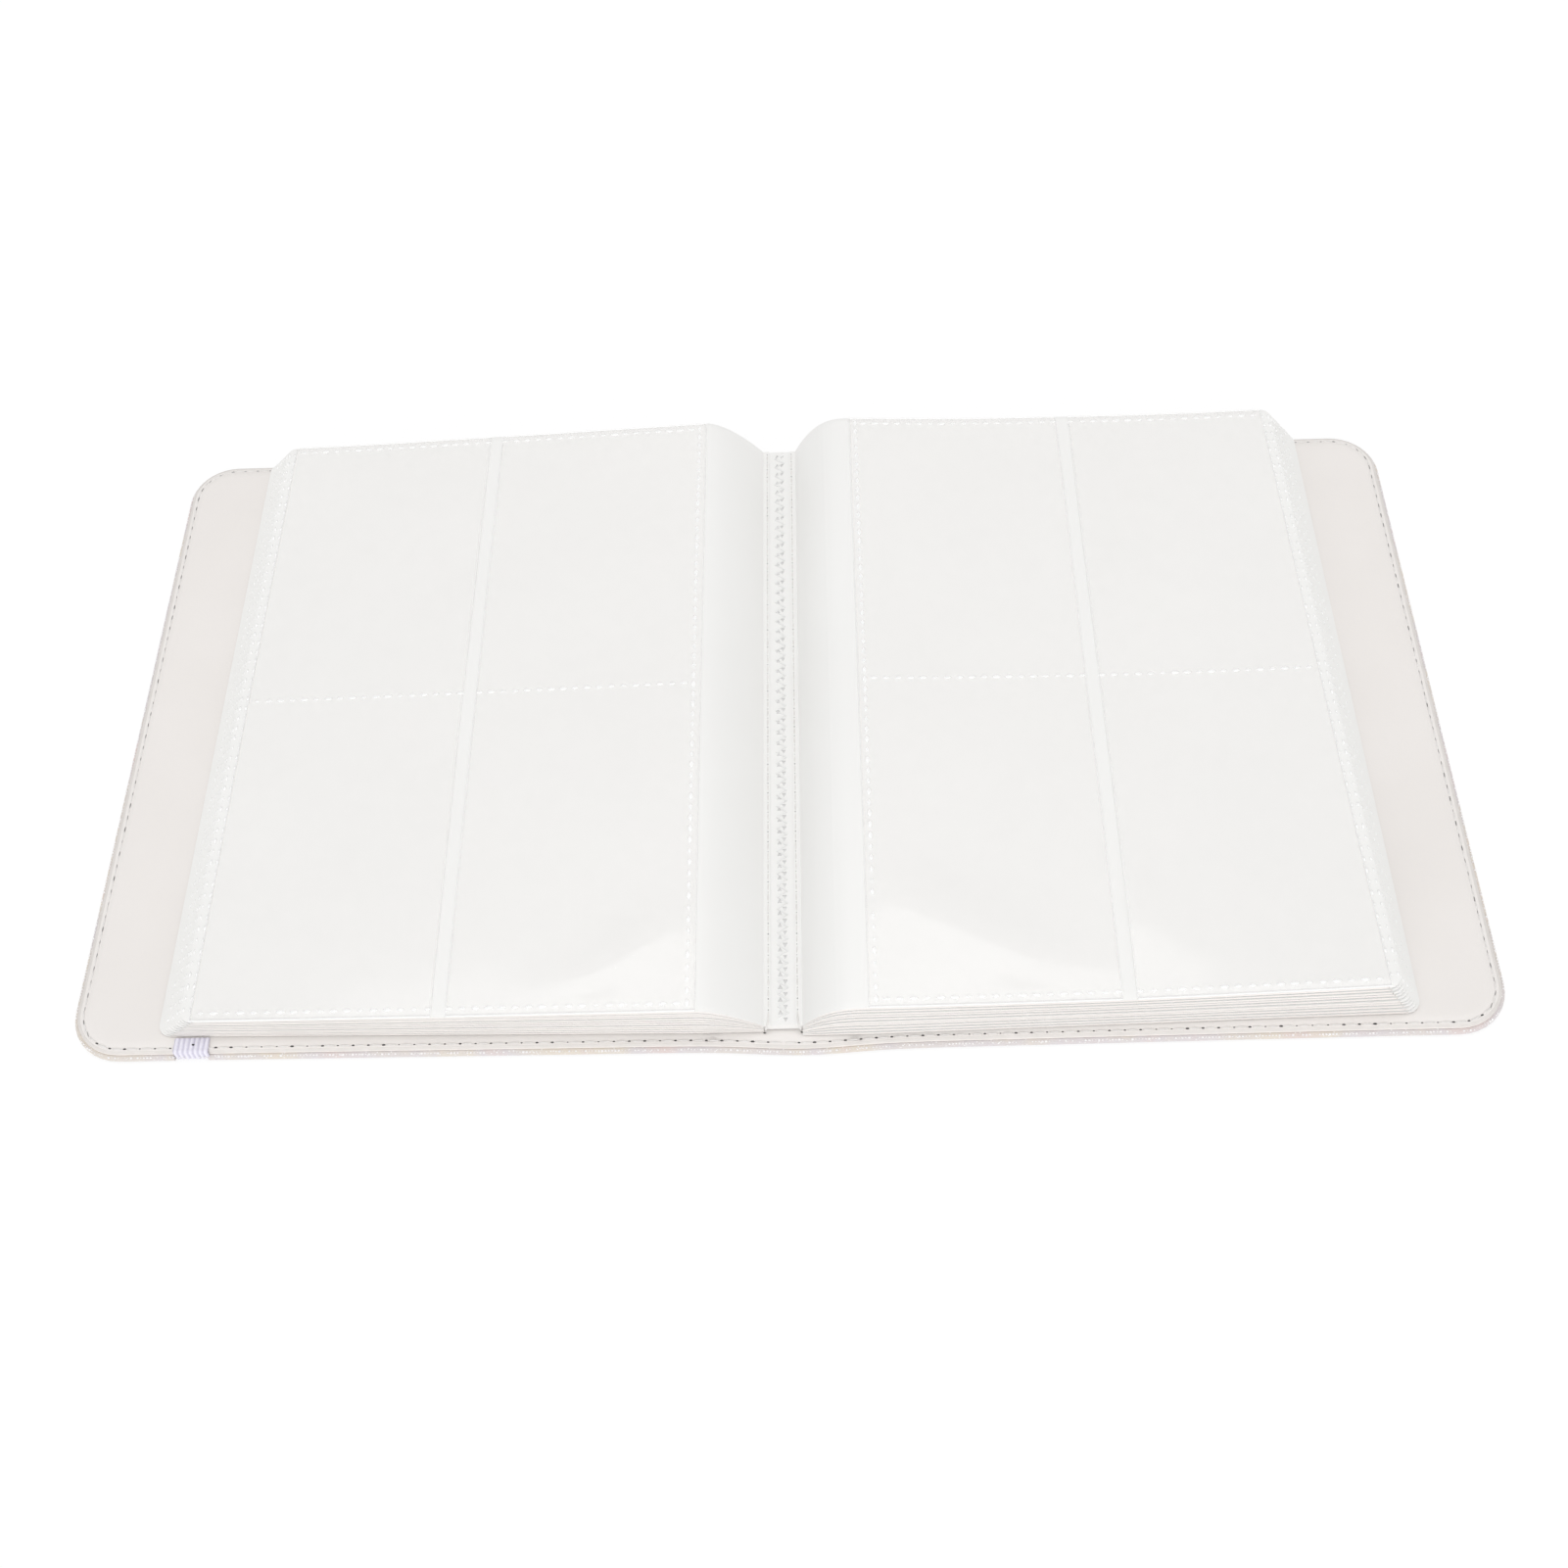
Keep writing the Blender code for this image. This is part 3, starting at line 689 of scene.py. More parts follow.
def sewnRun(name, lines, size, cut, material):
    # Bumps at a whole number of pitches along each line, starting a share of a pitch along it
    groups = []
    for i, line in enumerate(lines):
        length = sum((b - a).length for a, b in zip(line, line[1:]))
        pitch = length / round(length / seamSet["pitch"])
        groups.append(growAlong("%s_%d" % (name, i), [trimmed(line, cut * pitch)], bumpRun,
                                dict(size, Pitch=pitch * seamSet["slack"]), material))
    return joined(name, groups)


def addSeam():
    s = seamSet
    for side, word, body in halves:
        near, flank, far = seamLines(side, s["inset"], s["height"])
        thread = sewnRun("seam_stitches_" + word, [near, flank, far], s["stitch"], 0.5, seamYarn)
        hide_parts(body + "_seam_thread", "spine_seam_thread_head", "spine_seam_thread_tail")
        near, flank, far = seamLines(side, s["inset"], s["holeHeight"])
        # Dark bumps of painted shade in the needle holes
        holes = [sewnRun("seam_holes_near_" + word, [near], s["hole"], 1, needleHoleShade),
                 sewnRun("seam_holes_side_" + word, [flank], s["sideHoleShade"], 0, sideHoleShade),
                 sewnRun("seam_holes_far_" + word, [far], s["hole"], 1, faintHoleShade)]
        near, flank, far = seamLines(side, s["glintInset"], s["glintHeight"])
        glints = growAlong("edge_glints_" + word, [near + flank[1:] + far[1:]], bumpRun,
                           dict(s["glint"], Pitch=s["glintPitch"]), pearlGlint)
        for piece in (thread, *holes, glints):
            bendAtHinge(piece)


addSeam()
print("seam sewn")


# Elastic band
bandSet = dict(x=-144.2, width=8.6, half=0.36, ribs=7, rib=0.26, across=56, thinEdge=0.75, thinWidth=0.4,
               tabEnd=93.3, tabRise=(1.0, 0.03), edgeY=97.05, tabZ=3.72, underZ=0.36, round=0.5, steps=6,
               underFrom=90, underSteps=14, holeX=(0.4, 0.5), holeY=95.1, holeRise=0.2,
               hole=dict(Pitch=2.0, Length=0.8, Width=0.5, Height=0.3, Around=8, Rings=4, Least=1.0))


def bandPath(s):
    # From the near tab round the edge to the middle of the underside, then on to the far tab
    edge, bend, tabZ, underZ = -s["edgeY"], s["round"], s["tabZ"], s["underZ"]
    along, lift = s["tabRise"]
    turns = [math.pi / 2 * share for share in evenly(0, 1, s["steps"])[1:]]
    path = [(-s["tabEnd"], tabZ), (-s["tabEnd"] - along, tabZ + lift), (edge + bend, tabZ)]
    path += [(edge + bend * (1 - math.sin(t)), tabZ - bend * (1 - math.cos(t))) for t in turns]
    path.append((edge, underZ + bend))
    path += [(edge + bend * (1 - math.cos(t)), underZ + bend * (1 - math.sin(t))) for t in turns]
    path += [(y, underZ) for y in evenly(-s["underFrom"], 0, s["underSteps"])]
    return path + [(-y, z) for y, z in reversed(path[:-1])]


def bandRib(s, v):
    # 1 on a rib, 0 between two ribs
    return 0.5 - 0.5 * math.cos(2 * math.pi * s["ribs"] * v)


def addBand():
    s = bandSet
    path = bandPath(s)
    upper, lower = [], []
    for i, (y, z) in enumerate(path):
        before, after = path[max(0, i - 1)], path[min(len(path) - 1, i + 1)]
        run = Vector((after[0] - before[0], after[1] - before[1])).normalized()
        out = Vector((run.y, -run.x))  # away from the cover
        rowOut, rowIn = [], []
        for v in evenly(0, 1, s["across"]):
            edge = min(v, 1 - v) * s["width"]
            thick = s["half"] * (s["thinEdge"] + (1 - s["thinEdge"]) * ease(edge / s["thinWidth"]))
            thick -= s["rib"] * (1 - bandRib(s, v))
            x = s["x"] + (v - 0.5) * s["width"]
            rowOut.append((x, y + out.x * thick, z + out.y * thick))
            rowIn.append((x, y - out.x * thick, z - out.y * thick))
        upper.append(rowOut)
        lower.append(rowIn)
    band = sheetSolid("elastic_loop", upper, lower, [elasticWeb])
    # The rib attribute places the painted shade between the ribs
    shade = band.data.attributes.new("rib", "FLOAT", "POINT")
    for i, corner in enumerate(band.data.vertices):
        shade.data[i].value = bandRib(s, (corner.co.x / mm - s["x"]) / s["width"] + 0.5)
    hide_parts("elastic_band")
    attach(band, "back_cover")
    z = s["tabZ"] + s["holeRise"]
    lines = [[(s["x"] + x, sign * s["holeY"], z) for x in s["holeX"]] for sign in (-1, 1)]
    # Painted shade in the band's needle holes
    holes = growAlong("band_stitch_holes", lines, bumpRun, s["hole"], needleHoleShade)
    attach(holes, "back_cover")


addBand()
print("elastic band made")


# Leaves; -1 is the left side and 1 the right one
pocketSet = dict(inner=(20.7, 80.8), outer=(84.4, 144.0), foreEdge=2.6)  # where the pockets lie on a page
leafSet = dict(count=10, sewX=4.7, topStart=3.0, creaseX=20.5, lowBend=12.0, rootBend=7.0, bendZ=0.006,
               stretchX=90.0, outX=150.0, half=94.25, reach=94, floor=3.55, sewBase=3.7, rootLift=0.16,
               sheet=0.22, thin=0.42, filling=0.95, endRound=0.3, endWidth=1.2, corner=3.0, cornerRun=3.7,
               power={-1: 1.6, 1: 2.7}, skew={-1: 2.0, 1: 2.6},
               nearEnd={-1: 0.5, 1: 1.6}, nearFrom=(40, 54), uneven=0.35, unevenShare=0.35,
               outTop={-1: (145.8, 145.4), 1: (146.6, 143.0)},
               outBottom={-1: (152.8, 152.2), 1: (153.2, 152.0)},
               crease={-1: (14.0, 17.5, 18.0), 1: (14.1, 17.8, 18.6)},
               fore={-1: (10.15, 11.1, 10.35), 1: (14.95, 14.65, 15.15)},
               sag={-1: 0.3, 1: 1.4}, ripple=0.13, rippleScale=0.03, lowRipple=0.3, seed=11,
               rootSteep=20, rippleRise=6, rippleSeed=(0.12, 5), upward=0.5,
               endRows=[0, 0.3, 0.9, 1.8, 3.0, 5.0, 8.0], rows=28)
leafStops = [3.0, 3.6, 4.2, 4.7, 5.2, 5.8, 6.4, 7.0, 7.4, 7.8, 8.2, 8.6, 9.3, 10.1] + \
    list(range(11, 21)) + [20.7, 21.5, 23, 25, 28, 32, 37, 43] + evenly(50, 74, 4) + \
    [80.8, 84.4, 90] + evenly(96, 138, 7) + [143, 145.5, 147.1, 147.8, 148.7, 149.3, 149.75, 150]
leafDraw = random.Random(leafSet["seed"])
leafEnds = {(side, k): leafDraw.uniform(-leafSet["uneven"], leafSet["uneven"])
            for side in (-1, 1) for k in range(1, leafSet["count"] + 1)}


def byLength(y, heights):
    # Height at the near end, the middle and the far end, joined smoothly
    near, middle, far = heights
    reach = leafSet["reach"]
    if y < 0:
        return near + (middle - near) * math.sin(math.pi / 2 * (1 + max(y, -reach) / reach))
    return middle + (far - middle) * y / reach


def leafShare(k):
    # 1 for the top leaf, 0 for the lowest
    return (leafSet["count"] - k) / (leafSet["count"] - 1)


def leafOut(side, k, y):
    # Fore edge: the higher leaves climb further, so they end further in
    t = 0.5 + y / leafSet["half"] / 2
    ends = (leafSet["outTop"][side], leafSet["outBottom"][side])
    top, bottom = ((1 - t) * near + t * far for near, far in ends)
    return bottom + (top - bottom) * leafShare(k)


def leafEnd(side, k, y):
    # The leaves' ends are not quite level, and at the near end the lower ones reach further
    s = leafSet
    start, length = s["nearFrom"]
    further = s["nearEnd"][side] * (1 - leafShare(k)) * ease((-y - start) / length)
    return leafEnds[(side, k)] * s["unevenShare"] - further


def leafHeights(side, k, y):
    # Middle of a leaf at the crease and at the fore edge; the lowest leaf lies on the lining
    s = leafSet
    heights = []
    for part in ("crease", "fore"):
        top = byLength(y, s[part][side])
        half = s["filling"] / (s["count"] - 1) / 2
        base = (s["floor"] + half * top) / (1 + half)
        heights.append(base + leafShare(k) * (top - base))
    return heights


def leafPoint(side, k, x, y):
    # Middle of a leaf's sheet at a distance x from the spine
    s = leafSet
    share = leafShare(k)
    crease, fore = leafHeights(side, k, y)
    if x < s["creaseX"]:
        sewn = s["sewBase"] + (s["count"] - k + 0.5) * s["sheet"]
        t = (x - s["sewX"]) / (s["creaseX"] - s["sewX"])
        if t < 0:
            return Vector((side * x, y, sewn + s["rootLift"] * ease(-t * s["rootSteep"])))
        return Vector((side * x, y, sewn + (crease - sewn) * (1 - (1 - t) ** s["power"][side])))
    v = (x - s["creaseX"]) / (s["outX"] - s["creaseX"])
    z = crease + (fore - crease) * v - s["sag"][side] * share * arch(v)
    wave = s["ripple"] * (s["lowRipple"] + (1 - s["lowRipple"]) * share) * ease(v * s["rippleRise"])
    byLeaf, bySide = s["rippleSeed"]
    z += wave * slowWave(x, y, s["rippleScale"], byLeaf * k + bySide * side)
    return Vector((side * x, y + s["skew"][side] * v, z))


def leafHalfThickness(side, x, y):
    # Most of the room that a leaf has between its neighbours
    s = leafSet
    gaps = s["count"] - 1
    ends = zip(leafHeights(side, 1, y), leafHeights(side, s["count"], y))
    crease, fore = ((top - low) / gaps for top, low in ends)
    thin = s["sheet"] * s["thin"]
    rounding = 1 - s["endRound"] + s["endRound"] * ease((s["half"] - abs(y)) / s["endWidth"])
    full = s["filling"] / 2 * rounding
    if x >= s["creaseX"]:
        v = (x - s["creaseX"]) / (s["outX"] - s["creaseX"])
        return full * (crease + (fore - crease) * v - s["sag"][side] / gaps * arch(v))
    t = max(0.0, (x - s["sewX"]) / (s["creaseX"] - s["sewX"]))
    return thin + (full * crease - thin) * (1 - (1 - t) ** s["power"][side])


def leafFace(side, k, x, y, face):
    # A point on the upper (1) or the lower (-1) face of a leaf
    p = leafPoint(side, k, x, y)
    p.y += leafEnd(side, k, y)
    p.z += face * leafHalfThickness(side, x, y)
    return p


def leafRows(s):
    near = [-s["half"] + e for e in s["endRows"]]
    return near + evenly(near[-1], -near[-1], s["rows"])[1:-1] + [-y for y in reversed(near)]


def leafX(side, k, x, y):
    # A stop's place on its own leaf: drawn out to the fore edge, and in at the rounded corners
    s = leafSet
    here = x
    if x > s["stretchX"]:
        stretch = (leafOut(side, k, y) - s["stretchX"]) / (s["outX"] - s["stretchX"])
        here = s["stretchX"] + (x - s["stretchX"]) * stretch
    fromCorner = x - s["outX"] + s["cornerRun"]
    if fromCorner > 0:
        past = max(0, s["corner"] - s["half"] + abs(y))
        cut = s["corner"] - math.sqrt(max(0, s["corner"] ** 2 - past ** 2))
        here -= cut * ease(fromCorner / s["cornerRun"])
    return here


def leafSheet(name, side, k, start, end):
    # One stretch of a leaf; a stretch that reaches the fore edge gets its rounded corners
    rows = leafRows(leafSet)
    slack = 1e-6
    stops = [x for x in leafStops if start - slack <= x <= end + slack]
    upper, lower = ([[leafFace(side, k, leafX(side, k, x, y), y, face) for y in rows] for x in stops]
                    for face in (1, -1))
    # The near and far ends of a leaf take the painted warm shade
    piece = sheetSolid(name, upper, lower, [milkyFilm, milkyFilm, leafEndShade])
    if k == 1:
        # Upward faces under the pockets take the paler finish, painted light
        piece.data.materials.append(pocketBackLit)
        (innerLow, innerHigh), outerLow = pocketSet["inner"], pocketSet["outer"][0]
        for face in piece.data.polygons:
            x, y = abs(face.center.x) / mm, face.center.y / mm
            outerHigh = leafOut(side, k, y) - pocketSet["foreEdge"]
            if face.normal.z > leafSet["upward"] and (innerLow < x < innerHigh or outerLow < x < outerHigh):
                face.material_index = 3
    return piece


def bendAt(piece):
    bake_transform(piece)


# Stretches of the turning leaves: from, to, the two bodies, and where the bend starts and ends
turningSet = {
    3: [(4.7, 7.0, "spine", "right_leaves", 4.7, 7.0),
        (7.0, 150.0, "right_leaves", "third_right_leaf", 7.0, 11.0)],
    2: [(4.7, 7.0, "spine", "right_leaves", 4.7, 7.0),
        (7.0, 7.8, "right_leaves", "third_right_leaf", 7.0, 7.8),
        (7.8, 150.0, "third_right_leaf", "second_right_leaf", 7.8, 12.0)],
    1: [(3.0, 7.0, "spine", "right_leaves", 4.7, 7.0),
        (7.0, 7.8, "right_leaves", "third_right_leaf", 7.0, 7.8),
        (7.8, 8.6, "third_right_leaf", "second_right_leaf", 7.8, 8.6),
        (8.6, 13.0, "second_right_leaf", "top_right_leaf_root", 8.6, 12.5),
        (13.0, 150.0, "top_right_leaf_root", "top_right_leaf", 14.0, 20.5)]}


def addLeaves():
    # Each leaf as a left sheet and one or more right stretches. The ends of the leaves' bends are worked
    # out, over a longer root on the left and closer to the sewn line on the right for the higher leaves,
    # but nothing here bends them
    s = leafSet
    for k in range(1, s["count"] + 1):
        left = leafSheet("leaf_left_%02d" % k, -1, k, s["topStart"] if k == 1 else s["sewX"], s["outX"])
        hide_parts("left_leaf_%02d" % k, "left_leaf_roots")
        leftEnd, rightEnd = (s["lowBend"] + (s[key] - s["lowBend"]) * leafShare(k)
                             for key in ("creaseX", "rootBend"))
        bendAt(left)
        plain = [(s["sewX"], s["outX"], "spine", "right_leaves", s["sewX"], rightEnd)]
        stretches = turningSet.get(k, plain)
        root = "right_leaf_%02d_root" % k if k in turningSet else "right_leaf_roots"
        for i, (start, end, bodyA, bodyB, bendFrom, bendTo) in enumerate(stretches):
            last = i == len(stretches) - 1
            ending = "" if last else "_root_%d" % (i + 1)
            right = leafSheet("leaf_right_%02d" % k + ending, 1, k, start, end)
            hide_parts(*(["right_leaf_%02d" % k, root] if last else [root]))
            bendAt(right)


addLeaves()
print("leaves made")


# Pocket films
pages = ((-1, "left", "left_leaves"), (1, "right", "top_right_leaf"))
filmSet = dict(half=94.0, gap=0.12, thickness=0.1, weld=2.0, sideWeld={-1: 1.9, 1: 1.7}, columns=30,
               swell=0.24, middle=0.5, hold=34.0, fall=0.45, sideRim=0.07, endRim=0.22,
               buckles={(-1, "inner"): (1.5, 28, 22), (1, "inner"): (1.9, 44, 29),
                        (1, "outer"): (1.5, 22, 24)},
               freeRise=0.5, mouthDrop=0.5, uneven=(0.75, 0.5), unevenScale=(0.025, 0.02), unevenSeed=7,
               close=[0, 1, 2], clear=4, nearRows=30, farRows=24)


def filmX(side, column, x, y):
    # The outer column follows the leaf's fore edge
    low, high = pocketSet[column]
    if column == "inner":
        return x
    return low + (x - low) * (leafOut(side, 1, y) - pocketSet["foreEdge"] - low) / (high - low)


def filmSwell(side, column, x, y):
    # How far the clear film stands off its leaf: held at the welds, free at the mouth
    s = filmSet
    low, high = pocketSet[column]
    inner = column == "inner"
    free = (x - low) / (high - low) if inner else (high - x) / (high - low)
    toWeld = min(abs(y - s["middle"]), s["half"] - s["weld"] - abs(y))
    lift = s["swell"] * ease(free / s["freeRise"]) * ease(toWeld / s["hold"])
    (least, spread), (scaleX, scaleY) = s["uneven"], s["unevenScale"]
    lift *= least + spread * noise.noise(Vector((x * scaleX, y * scaleY, s["unevenSeed"] + side)))
    if y < 0 and (side, column) in s["buckles"]:
        # A slack near corner: a saddle between two welds, or a lifted mouth, that ends at a slanting fold
        amount, long, deep = s["buckles"][(side, column)]
        u = max(0.0, x - low - (s["sideWeld"][side] if inner else 0)) / long
        w = max(0.0, s["half"] - s["weld"] + y) / deep
        past = max(1.0, u + w)
        saddle = 4 * u * w / past ** 2
        mouth = (1 - u / past) * w / past * (1 - s["mouthDrop"] * w / past)
        shape = saddle if inner else mouth
        lift += amount * shape * hump(past - 1, s["fall"])
    return max(0.0, lift)


def filmPoint(side, column, x, y):
    p = leafFace(side, 1, filmX(side, column, x, y), y, 1)
    p.z += filmSet["gap"] + filmSwell(side, column, x, y)
    return p


def filmRows(s):
    # Closer together at the welds
    half, clear, close = s["half"], s["clear"], s["close"]
    near = [-half + e for e in close] + evenly(-half + clear, -clear, s["nearRows"])
    middle = [-e for e in reversed(close[1:])] + close
    far = evenly(clear, half - clear, s["farRows"]) + [half - e for e in reversed(close)]
    return near + middle + far


def addFilms():
    s = filmSet
    rows = filmRows(s)
    for side, word, body in pages:
        sides, ends = [], []
        for column in ("inner", "outer"):
            columns = evenly(*pocketSet[column], s["columns"])
            upper = [[filmPoint(side, column, x, y) for y in rows] for x in columns]
            lower = [[(p.x, p.y, p.z - s["thickness"]) for p in row] for row in upper]
            # The film's edges get the painted highlight finish
            film = sheetSolid("pocket_film_%s_%s" % (word, column), upper, lower, [clearFilm, filmEdgeHighlight])
            film.data.materials.append(filmUnder)
            for face in film.data.polygons:
                if face.material_index == 0 and face.normal.z < 0:
                    face.material_index = 2
            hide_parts("%s_leaf_01_%s_film" % (word, column))
            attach(film, body)
            sides += [upper[0], upper[-1]]
            ends += [[row[0] for row in upper], [row[-1] for row in upper]]
        addRims("film_sides_" + word, sides, s["sideRim"], body)
        addRims("film_edges_" + word, ends, s["endRim"], body)


def addRims(name, lines, radius, body):
    # Rims in the painted highlight finish of the film edges
    rims = growAlong(name, lines, roundRidge, dict(Radius=radius, Around=6), filmEdgeHighlight)
    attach(rims, body)


addFilms()
print("pocket films made")


# Weld beads
weldSet = dict(pitch=3.15, fromSide=2.5, fromMouth=0.8, longSteps=70, steps=40,
               sink=0.17,  # only the cap of a bead stands out of the film
               dash=dict(Length=2.8, Width=1.3, Height=0.5, Around=10, Rings=8, Least=0.8, Seed=7),
               dashRim=dict(Length=2.5, Width=1.3, Height=0.3, Around=10, Rings=4, Least=0.8, Seed=7),
               bead=dict(Length=1.7, Width=0.8, Height=0.5, Around=8, Rings=4, Least=0.6, Seed=9),
               foreRows={1: (0.7, 2.3), 2: (0.5,), 3: (0.5,), 5: (0.5,), 7: (0.5,)},
               foreEnd=3.2, foreLift=0.03, foreSteps=60,
               page=dict(Length=2.1, Width=0.9, Height=0.05, Around=8, Rings=4, Least=0.7, Seed=21),
               pageRim=0.025)
turningBodies = {3: "third_right_leaf", 2: "second_right_leaf", 1: "top_right_leaf"}
# Pages that only show when leaves turn: leaf, body, and its upper (1) and lower (-1) face
turnedPages = [(1, "top_right_leaf", (-1,)), (2, "second_right_leaf", (1, -1)),
               (3, "third_right_leaf", (1, -1)), (4, "right_leaves", (1,))]


def weldLine(place, ends, count):
    # Points between two ends, each put on its surface
    (x0, y0), (x1, y1) = ends
    return [place(x0 + (x1 - x0) * t, y0 + (y1 - y0) * t) for t in evenly(0, 1, count)]


def onFilm(side, column, x, y):
    p = filmPoint(side, column, x, y)
    p.z -= weldSet["sink"]
    return p


def onPage(k, face, x, y):
    # The outer end stays clear of the fore edge
    return leafFace(1, k, min(x, leafOut(1, k, y) - pocketSet["foreEdge"]), y, face)


def onForeEdge(side, k, fromEdge, y):
    p = leafFace(side, k, leafOut(side, k, y) - fromEdge, y, 1)
    p.z += weldSet["foreLift"]
    return p


def addBeads(name, lines, shape, material, body):
    beads = growAlong(name, lines, bumpRun, dict(weldSet[shape], Pitch=weldSet["pitch"]), material)
    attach(beads, body)


def crossWelds(side):
    # Ends of the welds across a page, at its two ends and in the middle: of the inner and the outer pockets
    s, w = filmSet, weldSet
    (innerLow, innerHigh), (outerLow, outerHigh) = pocketSet["inner"], pocketSet["outer"]
    end = s["half"] - s["weld"]
    start = innerLow + s["sideWeld"][side] + w["fromSide"]
    runs = ((start, innerHigh - w["fromMouth"]), (outerLow + w["fromMouth"], outerHigh - w["fromSide"]))
    return [[((x0, y), (x1, y)) for x0, x1 in runs] for y in (-end, s["middle"], end)]


def addWelds():
    s, w = filmSet, weldSet
    end = s["half"] - s["weld"]
    for side, word, body in pages:
        x = pocketSet["inner"][0] + s["sideWeld"][side]

        def onInner(x, y):
            return onFilm(side, "inner", x, y)

        def onOuter(x, y):
            return onFilm(side, "outer", x, y)
        lines = [weldLine(onInner, ((x, -end), (x, end)), w["longSteps"])]
        for inner, outer in crossWelds(side):
            lines += [weldLine(onInner, inner, w["steps"]), weldLine(onOuter, outer, w["steps"])]
        # Each dash lies in a pressed rim
        addBeads("weld_dash_rims_" + word, lines, "dashRim", weldRim, body)
        addBeads("weld_dashes_" + word, lines, "dash", weldBead, body)
    last = leafSet["count"] + 1
    foreEdges = [(-1, k, "left_leaves") for k in range(1, last)]
    foreEdges += [(1, k, "right_leaves") for k in range(len(turningBodies) + 1, last)]
    foreEdges += [(1, k, body) for k, body in turningBodies.items()]
    groups = {}
    reach = leafSet["half"] - w["foreEnd"]
    for side, k, body in foreEdges:
        for fromEdge in w["foreRows"].get(k, []):
            line = [onForeEdge(side, k, fromEdge, y) for y in evenly(-reach, reach, w["foreSteps"])]
            groups.setdefault(body, []).append(line)
    for body, lines in groups.items():
        addBeads("fore_edge_beads_" + body, lines, "bead", weldBead, body)


def addPageMarks():
    # The same pockets on the hidden pages, pressed nearly flat, their welds as grey marks of painted shade
    s, w = filmSet, weldSet
    end, half = s["half"] - s["weld"], s["half"]
    (innerLow, innerHigh), (outerLow, outerHigh) = pocketSet["inner"], pocketSet["outer"]
    for k, body, pageFaces in turnedPages:
        welds, mouths = [], []
        for face in pageFaces:
            def onThis(x, y):
                return onPage(k, face, x, y)
            for x in (innerLow + s["sideWeld"][1], outerHigh):
                welds.append(weldLine(onThis, ((x, -end), (x, end)), w["longSteps"]))
            for ends in crossWelds(1):
                welds += [weldLine(onThis, run, w["steps"]) for run in ends]
            for x in (innerHigh, outerLow):
                mouths.append(weldLine(onThis, ((x, -half), (x, half)), w["steps"]))
        addBeads("page_welds_%02d" % k, welds, "page", pageWeldShade, body)
        addRims("page_film_edges_%02d" % k, mouths, w["pageRim"], body)


addWelds()
addPageMarks()
print("welds made")


# Binding
bindingSet = dict(half=94.0, top=5.88, under=3.72, rows=40,
                  across=[0, 0.5, 1.2, 2, 2.6, 3.1, 3.4, 3.55, 3.7, 3.9, 4.1, 4.4, 4.6],
                  trough=(0.16, 0.5), crown=(0.12, 1.8), drop=(0.25, 4.1, 0.5),
                  zigPitch=3.4, zigWidth=1.25, zigEnd=1.5, zigLift=0.04, zigRadius=0.2,
                  mark=dict(Length=1.9, Width=1.6, Height=0.16, Around=3, Rings=3, Least=0.85),
                  sewX=3.55, sewLift=0.28, stitchEnd=2.5, holeEnd=1,
                  stitch=dict(Pitch=3.0, Length=2.4, Width=0.5, Height=0.46, Around=8, Rings=5,
                              Least=0.85, Seed=13),
                  hole=dict(Pitch=3.0, Length=0.62, Width=0.45, Height=0.3, Around=8, Rings=4,
                            Least=0.6, Seed=17),
                  tail=[(0, 2, 0.1), (0.1, 0.6, 0.25), (0.35, -0.3, -0.1), (0.7, -0.9, -0.9)],
                  tailRadius=0.24, zigStop=1, markShare=0.5, markStop=2,
                  tailHoleX=(0.9, 1.0), tailHoleY=-0.9, tailHoleZ=3.6, tailHoleShade=dict(Length=0.8, Width=0.45))


def stripTop(x):
    # A crown down the middle, a trough at either sewn line, and edges that drop
    s = bindingSet
    trough, troughWidth = s["trough"]
    crown, crownWidth = s["crown"]
    drop, dropX, dropWidth = s["drop"]
    z = s["top"] - trough * hump(abs(x) - s["sewX"], troughWidth) + crown * hump(x, crownWidth)
    return z - drop * ease((abs(x) - dropX) / dropWidth)


def addStrip():
    # The film strip with its welded zigzag
    s = bindingSet
    across = [-x for x in reversed(s["across"][1:])] + s["across"]
    rows = evenly(-s["half"], s["half"], s["rows"])
    strip = sheetSolid("binding_strip_film", [[(x, y, stripTop(x)) for y in rows] for x in across],
                       [[(x, y, s["under"]) for y in rows] for x in across], [milkyFilm])
    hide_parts("binding_strip")
    zig = []
    y = -s["half"] + s["zigEnd"]
    while y < s["half"] - s["zigStop"]:
        x = s["zigWidth"] * (1 if len(zig) % 2 else -1)
        zig.append((x, y, stripTop(x) + s["zigLift"]))
        y += s["zigPitch"] / 2
    ridge = growAlong("binding_zigzag", [zig], roundRidge, dict(Radius=s["zigRadius"], Around=6), weldBead)
    marks = []
    for side in (-1, 1):
        x = side * s["zigWidth"] * s["markShare"]
        first = -s["half"] + s["zigEnd"] + (s["zigPitch"] / 2 if side < 0 else 0)
        ends = [(x, first, stripTop(x)), (x, s["half"] - s["markStop"], stripTop(x))]
        marks.append(ends if side < 0 else ends[::-1])
    presses = growAlong("binding_marks", marks, bumpRun, dict(s["mark"], Pitch=s["zigPitch"]), pressedMark)
    for piece in (strip, ridge, presses):
        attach(piece, "spine")


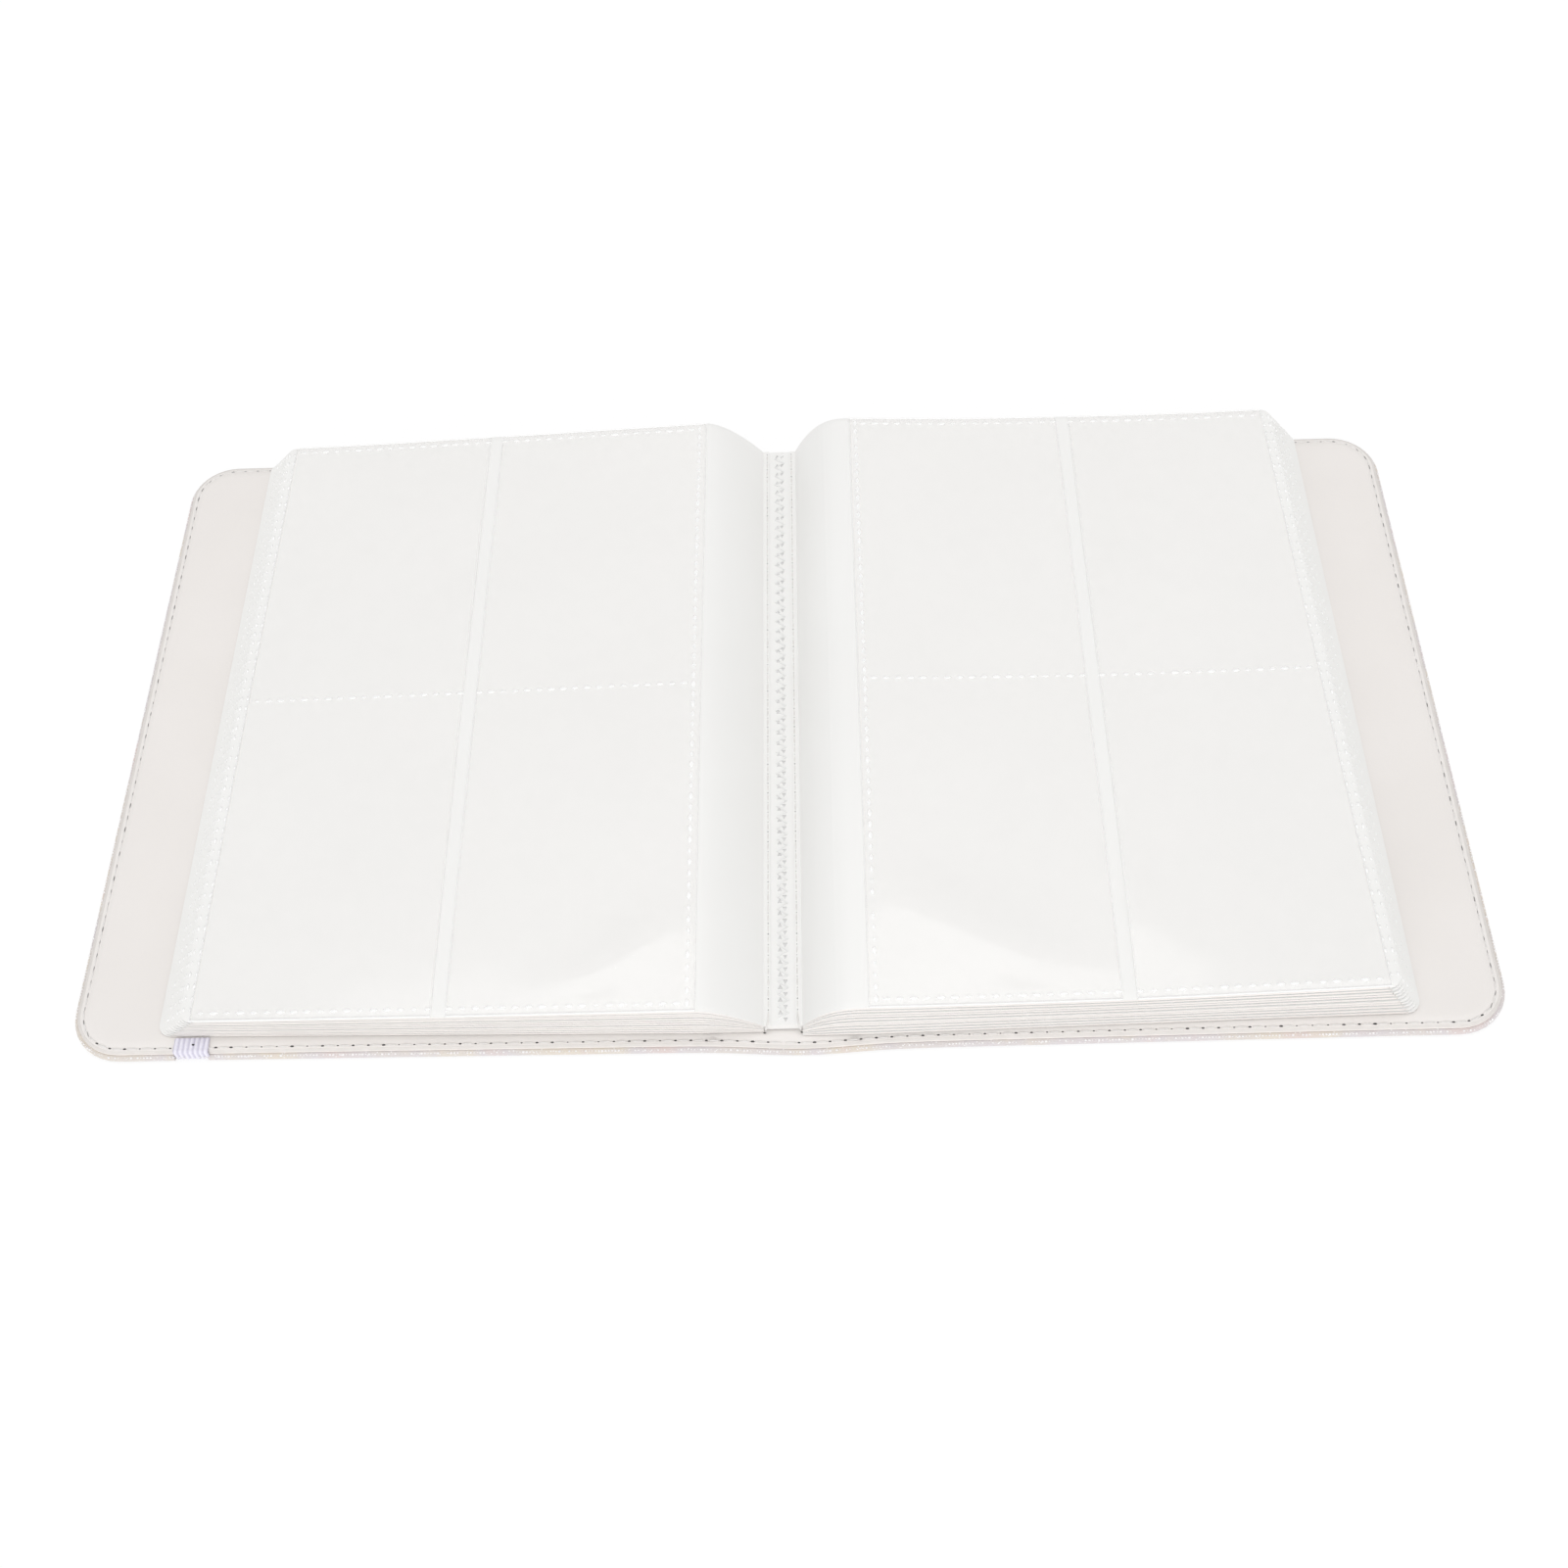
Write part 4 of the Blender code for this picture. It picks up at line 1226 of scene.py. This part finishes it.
def addBindingThreads():
    s = bindingSet
    for side, word in ((-1, "left"), (1, "right")):
        x = side * s["sewX"]
        z = stripTop(x) + s["sewLift"]

        def sewnLine(fromEnd):
            return [[(x, -s["half"] + fromEnd, z), (x, s["half"] - fromEnd, z)]]
        thread = growAlong("binding_stitches_" + word, sewnLine(s["stitchEnd"]), bumpRun,
                           s["stitch"], seamYarn)
        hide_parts("binding_thread_" + word)
        # Painted shade in the binding's needle holes
        holes = growAlong("binding_holes_" + word, sewnLine(s["holeEnd"]), bumpRun, s["hole"], faintHoleShade)
        loose = [(x + side * out, -s["half"] + along, z + up) for out, along, up in s["tail"]]
        tail = growAlong("binding_tail_" + word, [loose], roundRidge,
                         dict(Radius=s["tailRadius"], Around=8), seamYarn)
        # Two dark dots of painted shade where each tail goes into the strip
        ends = [(x + side * out, -s["half"] + s["tailHoleY"], s["tailHoleZ"]) for out in s["tailHoleX"]]
        tailHoleShade = growAlong("binding_tail_hole_" + word, [ends], bumpRun,
                         dict(s["hole"], **s["tailHoleShade"]), needleHoleShade)
        for piece in (thread, holes, tail, tailHoleShade):
            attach(piece, "spine")


addStrip()
addBindingThreads()
print("binding made")


# The boards keep their shape
for board in ("back_cover_board", "front_cover_board", "spine_board"):
    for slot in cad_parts[board].material_slots:
        slot.material = greyCard


# Floor, lamps and world
stageSet = dict(size=4.0, floorZ=-0.05, floorPlain=0.93, floorDiffuse=0.2, floorGlow=0.82, world=0.74,
                softbox=dict(power=1.9, size=(0.9, 0.34), at=(0.0, 0.12, 0.90)),
                front=dict(power=38.0, size=(3.0, 1.0), at=(0.0, -3.2, 1.0)))


def seenDirectly(tree):
    # 1 where the camera, a reflection or a clear film looks at it
    path = addNode(tree, "ShaderNodeLightPath")
    seen = path.outputs["Is Camera Ray"]
    for ray in ("Is Glossy Ray", "Is Transmission Ray"):
        either = addNode(tree, "ShaderNodeMath", operation="ADD", use_clamp=True)
        tree.links.new(seen, either.inputs[0])
        tree.links.new(path.outputs[ray], either.inputs[1])
        seen = either.outputs[0]
    return seen


def addFloor(s):
    half, z = s["size"] / 2 / mm, s["floorZ"]
    corners = [(-half, -half, z), (half, -half, z), (half, half, z), (-half, half, z)]
    made = bpy.data.materials.new("floor_white")
    tree = bareTree(made)
    plain = addNode(tree, "ShaderNodeBsdfDiffuse", {"Color": (s["floorPlain"],) * 3 + (1,)})
    shade = addNode(tree, "ShaderNodeBsdfDiffuse", {"Color": (s["floorDiffuse"],) * 3 + (1,)})
    glow = addNode(tree, "ShaderNodeEmission", {"Strength": s["floorGlow"]})
    bright = addNode(tree, "ShaderNodeAddShader")
    tree.links.new(shade.outputs[0], bright.inputs[0])
    tree.links.new(glow.outputs[0], bright.inputs[1])
    surfaced(tree, mixed(tree, seenDirectly(tree), plain, bright))
    floor = addPiece("floor", corners, [(0, 1, 2, 3)], [made])


def addWorld(s):
    world = bpy.data.worlds.new("studio")
    tree = bareTree(world)
    sky = addNode(tree, "ShaderNodeBackground", {"Color": (1, 1, 1, 1), "Strength": s["world"]})
    white = addNode(tree, "ShaderNodeBackground", {"Color": (1, 1, 1, 1), "Strength": 1.0})
    path = addNode(tree, "ShaderNodeLightPath")
    surfaced(tree, mixed(tree, path.outputs["Is Camera Ray"], sky, white), "ShaderNodeOutputWorld")
    scene.world = world


def addLamps(s):
    for name in ("softbox", "front"):
        light = bpy.data.lights.new(name, "AREA")
        light.shape = "RECTANGLE"
        light.size, light.size_y = s[name]["size"]
        light.energy = s[name]["power"]
        lamp = addObject(name, light)
        lamp.visible_glossy = name == "softbox"  # the front lamp gives no glare on the films
        lamp.location = s[name]["at"]
        lamp.rotation_euler = (-Vector(s[name]["at"])).to_track_quat("-Z", "Y").to_euler()


addFloor(stageSet)
addWorld(stageSet)
addLamps(stageSet)
print("stage set")
